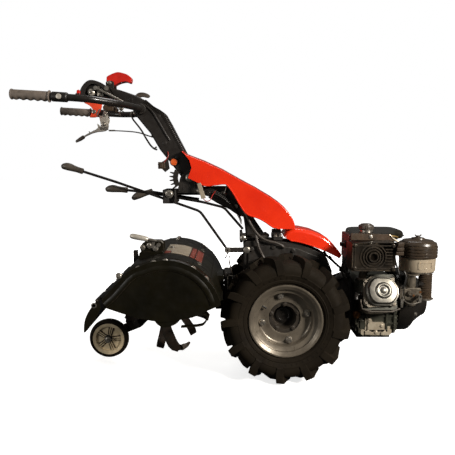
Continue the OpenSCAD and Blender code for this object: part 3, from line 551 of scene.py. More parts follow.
def pressed_cover(name, top, below, half, crown, radius, body_node, lip):
    """A sheet cover with flat sides, a crowned top and a rolled lower edge."""
    shape = Shape()
    outline = top + below
    across = 8
    for s in (-1, 1):
        shape.add([(x, s * half, z) for x, z in outline], [list(range(len(outline)))])
    grid = [[(x, half * (2 * k / across - 1), z + crown * (1 - (2 * k / across - 1) ** 2))
             for k in range(across + 1)] for x, z in top]
    shape.rings(grid, open_ring=True, capped=False)
    ridge = [Vector(p) for p in top]

    def on_shoulder(a, b):
        near = all(min((Vector((p.x, p.z)) - q).length for q in ridge) < 0.5 for p in (a, b))
        return near and abs(abs(a.y) - half) < 0.1 and abs(abs(b.y) - half) < 0.1 and a.y * b.y > 0

    make(name, shape, "orange_paint", replaces=body_node, rounded_edges=(radius, on_shoulder), shell=3.2)
    edge = Shape()
    for s in (-1, 1):
        path = flowing([(x, s * (half - 1.5), z) for x, z in lip], 5)
        edge.tube(path, 3.2, 10)
    make(name + "_lip", edge, "orange_paint", body=BODY_OF[body_node])


pressed_cover("hood", HOOD_TOP, HOOD_BELOW, 84, 5, 26, "hood", HOOD_BELOW[1:-3])
pressed_cover("front_fairing", FAIRING_TOP, FAIRING_BELOW, 72, 4, 24, "front_fairing", FAIRING_BELOW)

# ---- gearbox and steering ----


def gearbox():
    outline = [(-156, 205), (-156, 530), (-148, 538), (-60, 540), (60, 530), (168, 486), (182, 462),
               (200, 415),
               (200, 190), (150, 160), (-100, 160), (-140, 176)]
    shape = Shape().prism(outline, -58, 58)
    seam = [(x * 0.985 + 0.3, z + (3 if z < 350 else -3)) for x, z in outline]
    shape.prism([(x * 1.03, 350 + (z - 350) * 1.025) for x, z in seam], -7, 7)
    shape.prism([(-140, 224), (-140, 516), (-66, 522), (52, 512), (148, 474), (178, 408), (178, 206),
                 (-90, 180)],
                -66, 66)
    make("gearbox_case", shape, "cast_black", replaces="gearbox_case", bevel=3.5, segments=3)
    detail = Shape()
    for s in (-1, 1):
        out = (0, s, 0)
        detail.spin([(40, 0), (88, 0), (92, 4), (92, 12), (84, 16), (56, 20), (52, 24), (46, 26)],
                    (0, s * 62, AXLE_Z), out, 64)
        detail.spin([(17, 0), (47, 0), (47, 20), (45, 24), (34, 25), (33, 22), (17, 22)],
                    (0, s * 63, AXLE_Z), out, 64)
        for a in range(10, 370, 45):
            t = math.radians(a)
            detail.hexagon((78 * math.cos(t), s * 75, AXLE_Z + 78 * math.sin(t)), out, 12, 8)
        for x, z in ((-126, 505), (-128, 380), (-128, 250), (40, 500), (138, 462), (168, 395), (168, 300),
                     (168, 225), (-80, 196), (-40, 514)):
            detail.hexagon((x, s * 66, z), out, 12, 8)
        for x in (-96, -52, 96, 140):
            detail.box((x - 3, s * 64 - 5, 236 if abs(x) > 60 else 420), (x + 3, s * 64 + 5, 440))
        detail.spin([(0, 0), (26, 0), (28, 3), (28, 8), (20, 12), (0, 13)], (-20, s * 65, 440), out, 40)
        detail.spin([(0, 0), (18, 0), (20, 3), (20, 10), (0, 12)], (92, s * 65, 340), out, 40)
    make("gearbox_bosses", detail, "cast_black", body="chassis", sharp=30)


def gearbox_top():
    shape = Shape()
    shape.box((-172, -62, 532), (-161, 24, 574))
    shape.box((-161, -62, 541.5), (-148, -46, 570))
    shape.box((-38, -58, 539.5), (0, 58, 556))
    shape.box((-42, -46, 556), (-6, -10, 582))
    make("gearbox_cover", shape, "cast_black", replaces="gearbox_cover", bevel=2.5, segments=3)
    bolts = Shape()
    for x in (-30, -9):
        for y in (-50, 50):
            bolts.hexagon((x, y, 556), (0, 0, 1), 11, 8)
    bolts.spin([(0, 0), (9, 0), (11, 2), (11, 6), (6, 9), (0, 9.5)], (-160, -62, 551), (0, -1, 0), 32)
    bolts.disc((-24, -28, 582), (0, 0, 1), 9, 5, 1.5)
    for s in (-1, 1):
        bolts.hexagon((-148, s * 30, 541), (0, 0, 1), 13, 8)
    make("gearbox_cover_bolts", bolts, "zinc", body="chassis")


def coupling():
    make("implement_coupling", Shape().box((-236, -62, 252), (-206, 62, 408)), "cast_black",
         replaces="implement_coupling", bevel=5, segments=3)
    detail = Shape()
    detail.spin([(14, 0), (52, 0), (54, 3), (54, 40), (58, 44), (58, 50), (14, 50)], (-206, 0, 330),
                (1, 0, 0), 48)
    detail.tube([(-219, -70, 380), (-219, -70, 381)], 9)
    for y in (-48, 48):
        for z in (268, 392):
            detail.hexagon((-236, y, z), (-1, 0, 0), 16, 10)
    detail.tube([(-219, -70, 396), (-219, -70, 360)], [8, 8], 20)
    make("coupling_flange", detail, "cast_black", body="chassis")
    pin = Shape().tube([(-220, -74, 344), (-220, -74, 398)], 5, 16)
    pin.tube(eased([(-220, -74, 396), (-220, -84, 404), (-204, -92, 404), (-190, -88, 396)], 8), 2.2, 10)
    make("coupling_pin", pin, "zinc", body="chassis")


def bell():
    shape = Shape()
    shape.spin([(70, 0.5), (84, 0.5), (86, 4), (88, 20), (100, 44), (112, 58), (114, 62), (114, 76),
                (112, 79.5),
                (70, 79.5)], (200, 0, 288), (1, 0, 0), 72, closed=True)
    for a in range(0, 360, 45):
        t = math.radians(a + 22.5)
        u = Vector((0, math.cos(t), math.sin(t)))
        v = Vector((0, -math.sin(t), math.cos(t))) * 4
        foot = Vector((204, 0, 288))
        shape.add([foot + u * 84 - v, foot + u * 84 + v, foot + u * 92 + v, foot + u * 92 - v,
                   foot + Vector((54, 0, 0)) + u * 84 - v, foot + Vector((54, 0, 0)) + u * 84 + v,
                   foot + Vector((54, 0, 0)) + u * 112 + v, foot + Vector((54, 0, 0)) + u * 112 - v],
                  [[0, 1, 2, 3], [7, 6, 5, 4], [0, 4, 5, 1], [1, 5, 6, 2], [2, 6, 7, 3], [3, 7, 4, 0]])
        shape.hexagon(Vector((279, 0, 288)) + u * 104, (-1, 0, 0), 12, 12)
    make("bell_housing", shape, "cast_black", replaces="bell_housing")


def shift_arm():
    shape = Shape()
    blade = arc(-222, 504, 11, 70, 290, 12) + [(-146, 495)] + arc(-146, 505, 12, -80, 80, 8) + [(-146, 515)]
    shape.prism(blade, -75, -68)
    make("shift_arm", shape, "cast_black", replaces="shift_arm", bevel=1.2)
    eye = Shape().spin([(4, 0), (10.5, 0), (11.5, 1), (11.5, 4), (10.5, 5), (4, 5)], (-222, -75, 504),
                       (0, -1, 0), 32,
                       closed=True)
    eye.spin([(0, 0), (12, 0), (13, 1.5), (13, 6), (9, 8), (0, 8)], (-146, -74, 505), (0, -1, 0), 32)
    make("shift_arm_eye", eye, "zinc", body="shift")
    tail = Shape().tube(eased([(-220, -77, 494), (-224, -77, 484), (-232, -77, 470)], 6), 2.4, 10)
    make("shift_arm_tail", tail, "cast_black", body="shift")


def return_spring():
    """The cable that pulls the shift arm down."""
    path = flowing([(-214, -70, 480), (-216, -70, 466), (-210, -69, 434), (-202, -68, 404), (-198, -66, 384)],
                   8)
    wire = Shape().tube(path, 2.6, 10)
    make("shift_return_cable", wire, "cable_sleeve", body="chassis")


def steering():
    outline = [(-146, 549), (-152, 600), (-158, 636), (-172, 660), (-192, 680), (-232, 698), (-290, 712),
               (-326, 722), (-326, 752), (-262, 756), (-212, 755), (-190, 738), (-172, 712), (-146, 676),
               (-124, 640), (-90, 590), (-62, 549)]
    shape = Shape().prism(outline, -30, 30)
    shape.prism([(-206, 735), (-206, 776), (-184, 776), (-184, 735)], -20, 20)
    make("steering_frame", shape, "cast_black", replaces="steering_frame", bevel=5, segments=3)
    detail = Shape()
    detail.spin([(14, 0), (48, 0), (50, 2), (50, 10), (46, 13), (30, 16), (14, 16)], (-100, 0, 547.6),
                (0, 0, 1), 64)
    for a in range(30, 390, 60):
        t = math.radians(a)
        detail.hexagon((-100 + 40 * math.cos(t), 40 * math.sin(t), 559), (0, 0, 1), 10, 6)
    detail.prism([(-300, 710), (-268, 690), (-214, 662), (-176, 636), (-156, 632), (-170, 664), (-192, 688),
                  (-232, 706), (-290, 718)], -25, 28)
    make("steering_flange", detail, "cast_black", body="steering", sharp=30)
    pin = Shape().tube([(-100, 0, 470), (-100, 0, 570)], 13, 24)
    pin.tube(eased([(-188, -32, 676), (-188, -44, 676)], 2), 8, 20)
    pin.hexagon((-240, -30, 722), (0, -1, 0), 16, 10)
    pin.hexagon((-300, -30, 730), (0, -1, 0), 13, 8)
    make("steering_pin", pin, "zinc", body="steering")


def sector():
    shape = Shape()
    cheek = ([(-320, 724), (-320, 757), (-334, 797), (-346, 813)] + arc(-368, 792, 28, 40, 140, 8)
             + [(-404, 800), (-410, 789), (-421, 733), (-421, 724)])
    for s in (-1, 1):
        shape.prism(cheek, s * 52 - 5, s * 52 + 5)
    shape.box((-421, -57, 722), (-326.5, 57, 731))
    make("height_sector", shape, "cast_black", replaces="height_sector", bevel=1.6)
    rack = Shape()
    band = arc(-372, 790, 66, 150, 215, 14) + arc(-372, 790, 46, 215, 150, 10)
    rack.prism(band, -56, -48)
    for i in range(5):
        t = math.radians(164 + 12 * i)
        u, v = Vector((math.cos(t), 0, math.sin(t))), Vector((-math.sin(t), 0, math.cos(t)))
        root, tip = Vector((-372, 0, 790)) + u * 64, Vector((-372, 0, 790)) + u * 80
        points = [p + v * w + Vector((0, y, 0)) for y in (-56, -48)
                  for p, w in ((root, -4.4), (root, 4.4), (tip, 2.0), (tip, -2.0))]
        rack.add(points, [[0, 1, 2, 3], [7, 6, 5, 4], [0, 4, 5, 1], [1, 5, 6, 2], [2, 6, 7, 3], [3, 7, 4, 0]])
    for x in (-330, -352, -374, -396, -414):
        rack.box((x - 2, -58.5, 736), (x + 2, -54, 738 + (421 + x) * 0.25 + 22))
    make("sector_rack", rack, "cast_black", body="steering", bevel=1.0)
    guide = Shape()
    for low, high in (((-476, -82, 690), (-470, 56, 744)), ((-430, -82, 690), (-424, 56, 744)),
                      ((-470, -82, 690), (-430, -76, 744)), ((-470, 50, 690), (-430, 56, 744)),
                      ((-427, -20, 724), (-418, 26, 742))):
        guide.box(low, high)
    make("rod_guide", guide, "cast_black", body="steering", bevel=1.5)
    bolts = Shape()
    bolts.hexagon((-450, -82, 727), (0, -1, 0), 19, 10)
    bolts.hexagon((-334, -57, 738), (0, -1, 0), 13, 8)
    bolts.hexagon((-372, -57, 790), (0, -1, 0), 19, 8)
    bolts.hexagon((-372, 57, 790), (0, 1, 0), 19, 8)
    make("sector_bolts", bolts, "zinc", body="steering")
    strap = Shape().prism([(-341, 768), (-326, 772), (-306, 712), (-324, 708)], -92, -88.5)
    make("hood_strap", strap, "label_cream", body="steering", bevel=1.2)
    wires = Shape()
    wires.tube(flowing([(-322, -88, 716), (-306, -86, 700), (-290, -84, 704), (-280, -70, 724),
                        (-268, -40, 740)], 6),
               1.8, 8)
    make("hood_wire", wires, "wire_red", body="steering")
    wires = Shape()
    for k, drop in enumerate((0, 6, 12)):
        y = -48 - 3 * k
        wires.tube(flowing([(-330, y, 752 - drop), (-290, y, 746 - drop), (-240, y, 722 - drop),
                            (-205, y, 690 - drop), (-180, y, 652 - drop), (-166, y, 618 - drop)], 6), 2.6, 8)
    make("steering_cables", wires, "wire_black", body="steering")
    stay = Shape().tube([(-222, -34, 764), (-240, -34, 706)], 4, 12)
    make("hood_stay", stay, "zinc", body="steering")


gearbox()
gearbox_top()
coupling()
bell()
shift_arm()
return_spring()
steering()
sector()

CAD_HOSES = {
    "upper": ([(-166, -30.5, 668), (-166, -40, 668), (-150, -54, 648), (-132, -62, 612), (-114, -70, 582),
               (-90, -75, 556), (-60, -78, 541), (-30, -78, 534), (-8, -78, 524), (2, -76, 516),
               (2, -66.5, 516)], 5.5),
    "lower": ([(-136, -30.5, 618), (-136, -40, 618), (-122, -58, 592), (-110, -68, 566), (-104, -76, 540),
               (-96, -78, 512), (-84, -76, 486), (-74, -76, 468), (-74, -66.5, 468)], 5.0),
}
hose_shape = Shape()
for hose_path, hose_r in CAD_HOSES.values():
    hose_shape.tube(flowing(hose_path, 7), hose_r, 16)
make("hoses", hose_shape, "cable_sleeve", replaces="hoses",
     between=("steering", (-166, -40, 668), (-60, -78, 541)))

# ---- engine ----

FAN_BOLT_CIRCLE = 110  # radius on which the bolts of the fan cover stand

CRANK_Z = 288
CYLINDER_TILT = 22


def along_cylinder(x, y, up):
    """A point given from the crankshaft along the cylinder, which leans to the machine's right."""
    t = math.radians(CYLINDER_TILT)
    return Vector((358 + x, -up * math.cos(t) + y * math.sin(t),
                   CRANK_Z + up * math.sin(t) + y * math.cos(t)))


CYLINDER_AXIS = (along_cylinder(0, 0, 1) - along_cylinder(0, 0, 0)).normalized()


def cylinder_prism(shape, outline, low, high):
    """An outline across the cylinder, raised from low to high along it."""
    return shape.rings([[along_cylinder(x, y, up) for x, y in outline] for up in (low, high)])


def crankcase():
    profile = [(281, 200), (288, 184), (300, 172), (440, 172), (455, 190), (455, 380), (436, 398), (300, 398),
               (281, 378)]
    make("crankcase", Shape().prism(profile, -104, 104), "engine_grey", replaces="crankcase", bevel=5,
         segments=3)
    detail = Shape()
    detail.prism([(286, 188), (300, 176), (438, 176), (450, 192), (450, 250), (286, 250)], -114, -100)
    for x in (300, 330, 408, 438):
        detail.box((x - 3, -122, 180), (x + 3, -104, 262))
    detail.box((284, -120, 214), (452, -104, 220))
    detail.box((284, -118, 244), (452, -104, 249))
    for z in (206, 236, 262):
        detail.hexagon((440, -116, z), (0, -1, 0), 11, 8)
    detail.spin([(0, 0), (20, 0), (20, 8), (17, 10), (17, 14), (0, 14)], (308, -108, 212), (0, -1, 0), 32)
    for y in (-70, 70):
        for z in (196, 374):
            detail.hexagon((281, y, z), (-1, 0, 0), 12, 8)
    make("crankcase_ribs", detail, "engine_grey", body="chassis", sharp=30)
    plug = Shape()
    plug.spin([(0, 0), (13, 0), (14.5, 2), (14.5, 9), (12, 12), (8, 13), (0, 13)], (285, -124, 256),
              (0, -1, 0), 32)
    plug.box((282, -146, 248), (288, -136, 264))
    make("oil_filler_plug", plug, "brass", body="chassis")
    make("oil_filler_neck", Shape().tube([(285, -98, 256), (285, -124, 256)], [16, 13], 24), "cast_alloy",
         body="chassis")


def engine_foot():
    shape = Shape().box((298, -88, 150), (432, 88, 158))
    for y in (-84, 68):
        shape.box((304, y, 156), (426, y + 16, 171.6))
    # painted shade: the foot plate takes the crankcase's dark grey instead of the lugs' cream, standing for
    # the shade below the engine foot
    make("engine_base", shape, "engine_grey", replaces="engine_base", bevel=2, segments=3)
    detail = Shape()
    detail.prism([(312, 170), (420, 170), (428, 178), (428, 192), (306, 192), (306, 176)], -122, -84)
    detail.prism([(328, 184), (400, 184), (400, 216), (394, 222), (352, 222), (346, 238), (322, 238),
                  (322, 190)],
                 -122, -84)
    detail.prism([(404, 184), (424, 184), (424, 204), (404, 204)], -116, -84)
    detail.box((322, -127, 174), (346, -120, 188))
    detail.box((386, -127, 172), (414, -120, 184))
    for x, z in ((334, 181), (366, 181), (400, 178), (338, 228), (388, 208)):
        detail.hexagon((x, -121, z), (0, -1, 0), 11, 5)
    make("engine_foot_lug", detail, "base_steel", body="chassis", bevel=1.5)
    stays = Shape()
    for y in (-60, 52):
        stays.tube(eased([(186, y, 478), (200, y, 458), (262, y, 404)], 12), 5, 14)
        stays.box((254, y - 8, 392), (268, y + 8, 412))
    make("fairing_stays", stays, "tube_black", body="chassis", sharp=40)


def cylinder():
    block = Shape()
    cylinder_prism(block, [(-56, -54), (56, -54), (56, 54), (-56, 54)], 100, 192)
    make("cylinder_head", block, "engine_grey", replaces="cylinder_head", bevel=5)
    fins = Shape()
    for i in range(8):
        up = 122 + 9 * i
        reach = 72 - 1.2 * i
        cylinder_prism(fins, [(-reach, -60), (-reach + 8, -68), (reach - 8, -68), (reach, -60), (reach, 60),
                              (reach - 8, 68), (-reach + 8, 68), (-reach, 60)], up, up + 2.8)
    make("cylinder_fins", fins, "engine_grey", body="chassis", bevel=0.8)
    flange = Shape()
    cylinder_prism(flange, [(-66, -46), (-48, -60), (40, -54), (58, -30), (60, 24), (48, 50), (-30, 60),
                            (-62, 34)],
                   190, 203)
    for x, y in ((-58, -44), (-54, 38), (46, -48), (48, 46)):
        flange.hexagon(along_cylinder(x, y, 202), CYLINDER_AXIS, 11, 7)
    make("head_flange", flange, "cast_alloy", body="chassis", bevel=1.2)
    shroud = Shape()
    outer = [(-78, -30), (-74, -66), (-40, -78), (40, -78), (74, -66)]
    cylinder_prism(shroud, outer + [(x * 0.94, y * 0.92) for x, y in outer[::-1]], 120, 196)
    make("cylinder_shroud", shroud, "exhaust", body="chassis", bevel=1.0)


def valve_cover():
    shape = [(-57, -9), (-53, -27), (-45, -43), (-35, -51), (-20, -55), (30, -55), (44, -48), (60, -27),
             (66, -12),
             (66, 8), (58, 26), (42, 48), (30, 54), (-18, 56), (-32, 51), (-46, 38), (-57, 14)]
    cover = Shape()
    tiers = [(1.0, 203), (1.0, 213), (0.985, 215), (0.92, 216), (0.895, 217.5), (0.865, 226), (0.82, 230),
             (0.62, 231.6), (0.52, 232)]
    cover.rings([[along_cylinder(x * k, y * k, up) for x, y in shape] for k, up in tiers])
    make("valve_cover", cover, "machined_alloy", replaces="valve_cover", bevel=1.2, segments=2, sharp=24)
    dome = Shape().spin([(31, 0), (31, 2), (28, 5.6), (24, 7.2), (20, 6.8), (17.5, 4.2), (16.5, 3.2),
                         (13, 3.6),
                         (9, 6), (5, 7.2), (0, 7.6)], along_cylinder(3, 0, 231), CYLINDER_AXIS, 72)
    make("valve_cover_dome", dome, "machined_alloy", body="chassis", sharp=60)


def spark_plug():
    boot = Shape()
    foot = along_cylinder(-60, -10, 172)
    out = Vector((-1, -0.35, 0.15)).normalized()
    boot.tube([foot, foot + out * 12, foot + out * 13, foot + out * 30, foot + out * 34], [10, 10, 8, 8, 6],
              20)
    knee = foot + out * 26
    boot.tube(flowing([knee, knee + Vector((-6, -14, -2)), knee + Vector((-8, -22, -14))], 5), 7.5, 16)
    make("spark_plug_boot", boot, "wire_black", body="chassis", sharp=50)
    lead = Shape().tube(flowing([knee + Vector((-8, -22, -12)), (272, -140, 330), (264, -128, 302),
                                 (262, -112, 316),
                                 (262, -102, 350), (268, -90, 388)], 8), 3.4, 12)
    make("spark_plug_lead", lead, "wire_black", body="chassis")


def muffler():
    make("muffler", Shape().box((252, -206, 462), (386, -142, 540)), "exhaust", replaces="muffler",
         bevel=12, segments=5)
    pipe = Shape()
    pipe.tube(flowing([(330, -160, 466), (320, -162, 452), (304, -160, 440), (298, -152, 420),
                       (300, -140, 404)], 6),
              15, 24)
    pipe.spin([(0, 0), (24, 0), (24, 6), (16, 7)], (300, -140, 402), (0, 0, 1), 24)
    make("exhaust_pipe", pipe, "exhaust", body="chassis")
    guard = Shape()
    y = -222
    guard.box((238, y, 449), (399, y + 3, 554))
    for low, high in (((238, y, 551), (399, -136, 554)), ((238, y, 449), (399, -136, 452)),
                      ((238, y, 449), (241, -136, 554)), ((396, y, 449), (399, -136, 554))):
        guard.box(low, high)
    make("muffler_guard", guard, "exhaust", replaces="muffler_guard", bevel=1.2)
    face = Shape()
    for r0, r1, lift in ((24, 28, 5), (34, 38, 3.6), (45, 48.5, 2.6)):
        face.spin([(r0, 0), (r0, lift), (r1, lift), (r1 + 1, 0)], (316, y, 503), (0, -1, 0), 64, closed=True)
    face.prism([(246, 457), (391, 457), (391, 461), (246, 461)], y - 2.4, y + 0.5)
    face.prism([(246, 542), (391, 542), (391, 546), (246, 546)], y - 2.4, y + 0.5)
    face.prism([(246, 457), (250, 457), (250, 546), (246, 546)], y - 2.4, y + 0.5)
    for i in range(6):
        z = 474 + 11 * i
        face.prism([(360, z), (386, z), (386, z + 4), (360, z + 4)], y - 4.5, y + 0.5)
    for x, z in ((248, 459), (389, 459), (248, 544), (389, 544)):
        face.hexagon((x, y - 1, z), (0, -1, 0), 9, 6)
    make("muffler_guard_face", face, "exhaust", body="chassis", sharp=30)
    outlet = Shape().spin([(13, -10), (13, 9), (14, 11), (18, 11), (19, 9), (19, -2), (19, -10)],
                          (316, y, 503), (0, -1, 0), 48, closed=True)
    make("exhaust_outlet", outlet, "exhaust", body="chassis")
    # painted shade: a black disc set a little inside the outlet stands for the dark depth of the pipe
    outlet_shade = Shape().spin([(0, -6), (13.2, -6), (13.2, -7.5), (0, -7.5)], (316, y, 503), (0, -1, 0), 32)
    make("exhaust_throat_shade", outlet_shade, "gloss_plastic", body="chassis")


def tank():
    outline = [(258, -122), (270, -134), (400, -134), (438, -118), (444, -40), (492, -26), (500, -12),
               (500, 110),
               (484, 128), (302, 128), (280, 106)]
    shape = Shape()
    levels = [(0.90, 541), (0.975, 545), (1.0, 553), (1.0, 563), (0.975, 571), (0.92, 576), (0.80, 579)]
    cx, cy = 360, -4
    shape.rings([[(cx + (x - cx) * k, cy + (y - cy) * k, z) for x, y in outline] for k, z in levels])
    make("fuel_tank", shape, "tank_black", replaces="fuel_tank", subdivide=2)
    seam = Shape()
    ring = [(cx + (x - cx) * k, cy + (y - cy) * k, z) for k, z in ((1.012, 553), (1.012, 556)) for x,
            y in outline]
    n = len(outline)
    seam.rings([ring[:n], ring[n:]])
    make("tank_seam", seam, "tank_black", body="chassis", bevel=1.0)
    neck = Shape().spin([(20, 0), (26, 0), (26, 8), (24, 10), (24, 12), (20, 12)], (331, -60, 576), (0, 0, 1),
                        48,
                        closed=True)
    make("tank_neck", neck, "zinc", body="chassis")
    shield = Shape().prism([(252, 549), (252, 580), (404, 576), (416, 560), (434, 552), (434, 546),
                            (410, 549)],
                           -141, -138)
    make("heat_shield", shield, "umber_plastic", body="chassis", bevel=1.0)
    # painted highlight: a gold strip along the near upper edge of the glossy black tank, where the warm key
    # light would glint
    band = Shape().tube(flowing([(346, -133, 571), (380, -134, 571), (404, -133, 570), (426, -124, 566),
                                 (440, -112, 561)], 5), 3.0, 10)
    make("tank_trim", band, "painted_gold_highlight", body="chassis")
    trim = Shape().tube(flowing([(396, -142, 574), (404, -142, 571), (414, -142, 560), (432, -142, 548)], 5),
                        2.2, 8)
    make("heat_shield_edge", trim, "base_steel", body="chassis")
    screw = Shape().hexagon((327, -141, 566), (0, -1, 0), 9, 4)
    make("heat_shield_screw", screw, "zinc", body="chassis")


def fuel_cap():
    cap = Shape()
    cap.spin([(0, 0.4), (28, 0.4), (28.8, 2), (28.8, 15), (27, 17.6), (22, 19), (21, 21.6), (16, 22.8),
              (0, 22.8)],
             (331, -60, 586), (0, 0, 1), 48)
    for i in range(24):
        t = 2 * math.pi * i / 24
        foot = Vector((331 + 28.4 * math.cos(t), -60 + 28.4 * math.sin(t), 590))
        cap.tube([foot, foot + Vector((0, 0, 11))], 1.9, 8)
    make("fuel_cap", cap, "knob_plastic", replaces="fuel_cap", sharp=35)


def fan_cover():
    shape = Shape().spin([(127, 0), (128, 3), (128, 48), (125, 56), (118, 64), (101, 78), (86, 98), (73, 116),
                          (68, 128), (65, 130), (60, 130), (60, 122), (80, 98), (96, 78), (114, 60),
                          (122, 44),
                          (122, 0)],
                         (456, 0, CRANK_Z), (1, 0, 0), 72, closed=True)
    make("fan_shroud", shape, "gloss_plastic", replaces="fan_shroud", sharp=35)
    detail = Shape()
    detail.spin([(0, 0), (62, 0), (62, 3), (50, 6), (24, 7), (20, 8), (0, 8)], (577, 0, CRANK_Z),
                (1, 0, 0), 64)
    for i in range(24):
        t = 2 * math.pi * i / 24
        u = Vector((0, math.cos(t), math.sin(t)))
        v = Vector((0, -math.sin(t), math.cos(t))) * 2.6
        a, b = Vector((580, 0, CRANK_Z)) + u * 28, Vector((578, 0, CRANK_Z)) + u * 60
        top = Vector((4, 0, 0))
        detail.add([a - v, a + v, b + v, b - v, a - v + top, a + v + top, b + v + top, b - v + top],
                   [[0, 1, 2, 3], [7, 6, 5, 4], [0, 4, 5, 1], [1, 5, 6, 2], [2, 6, 7, 3], [3, 7, 4, 0]])
    detail.tube([(560, 22, 352), (572, 40, 352), (574, 60, 352), (574, 92, 352)], [20, 18, 15, 12], 24)
    make("fan_grille", detail, "gloss_plastic", body="chassis", sharp=30)
    bolts = Shape()
    for a in (20, 80, 140, 200, 260, 320):
        t = math.radians(a)
        bolts.hexagon((526, FAN_BOLT_CIRCLE * math.cos(t), CRANK_Z + FAN_BOLT_CIRCLE * math.sin(t)),
                      (0.7, 0.7 * math.cos(t), 0.7 * math.sin(t)), 10, 6)
    make("fan_cover_bolts", bolts, "zinc", body="chassis")
    pull = Shape()
    pull.tube([(556, 114, 352), (562, 114, 352), (572, 114, 352), (582, 114, 352), (592, 114, 352)],
              [6, 9, 7.6, 9, 6], 20)
    pull.spin([(0, 0), (8, 0), (8, 8), (5, 13), (0, 14)], (574, 96, 352), (0, 1, 0), 24)
    make("starter_handle", pull, "grip_rubber", replaces="starter_handle")
    rope = Shape().tube([(574, -50, 352), (574, 98, 352)], 2, 10)
    make("starter_rope", rope, "cable_sleeve", body="starter")


def carburettor():
    body = Shape()
    body.prism([(446, 334), (446, 372), (470, 378), (512, 376), (514, 336), (500, 328), (460, 328)], -190,
               -132)
    make("carburettor", body, "cast_alloy", replaces="carburettor", bevel=4, segments=3)
    detail = Shape()
    bowl = (482, -162, 330)
    detail.spin([(0, 0), (27, 0), (27, 4), (24, 6), (24, 18), (20, 25), (8, 27), (0, 27)], bowl, (0, 0, -1),
                40)
    detail.spin([(0, 0), (6, 0), (6, 6), (0, 7)], (482, -162, 303), (0, 0, -1), 6)
    detail.tube([(482, -162, 376), (482, -162, 428)], 17, 32)
    detail.spin([(0, 0), (29, 0), (29, 5), (0, 5)], (482, -162, 423), (0, 0, 1), 40)
    detail.tube([(440, -162, 354), (452, -162, 354)], 22, 32)
    detail.prism([(430, 336), (440, 336), (440, 374), (430, 374)], -194, -130)
    detail.spin([(0, 0), (10, 0), (10, 10), (6, 14), (0, 14)], (468, -190, 358), (0, -1, 0), 24)
    detail.spin([(0, 0), (7, 0), (7, 12), (0, 13)], (496, -188, 344), (0, -1, 0), 20)
    detail.hexagon((452, -188, 342), (0, -1, 0), 9, 6)
    make("carburettor_bowl", detail, "cast_alloy", body="chassis", sharp=35)
    brass_bits = Shape()
    brass_bits.spin([(0, 0), (4, 0), (4, 8), (3, 9), (0, 9)], (480, -190, 350), (0, -1, 0), 16)
    brass_bits.spin([(0, 0), (4.5, 0), (4.5, 6), (0, 6)], (508, -186, 362), (0, -1, 0), 16)
    make("carburettor_jets", brass_bits, "brass", body="chassis")
    levers = Shape()
    levers.tube([(500, -190, 350), (500, -216, 350)], 4, 12)
    levers.prism([(494, 330), (494, 354), (500, 358), (506, 354), (504, 330), (499, 326)], -216, -212)
    levers.tube(flowing([(499, -214, 330), (470, -214, 322), (446, -206, 330), (440, -190, 352)], 6), 2, 8)
    levers.prism([(438, 300), (446, 300), (452, 380), (444, 388), (436, 380)], -186, -183)
    make("throttle_levers", levers, "zinc", body="chassis", sharp=40)
    pipe = Shape().tube(flowing([(444, -186, 442), (452, -190, 420), (448, -190, 392), (440, -184, 366),
                                 (436, -170, 330), (440, -150, 312), (452, -130, 306)], 7), 4.2, 14)
    pipe.tube(flowing([(420, -124, 548), (424, -128, 520), (430, -128, 470), (442, -134, 430),
                       (450, -140, 396)], 7),
              3.6, 14)
    make("fuel_hoses", pipe, "wire_black", body="chassis")
    tap = Shape().spin([(0, 0), (11, 0), (11, 14), (8, 18), (0, 18)], (522, -150, 388), (0, -1, 0), 24)
    tap.box((508, -172, 384), (540, -164, 394))
    make("fuel_tap", tap, "wire_black", body="chassis")


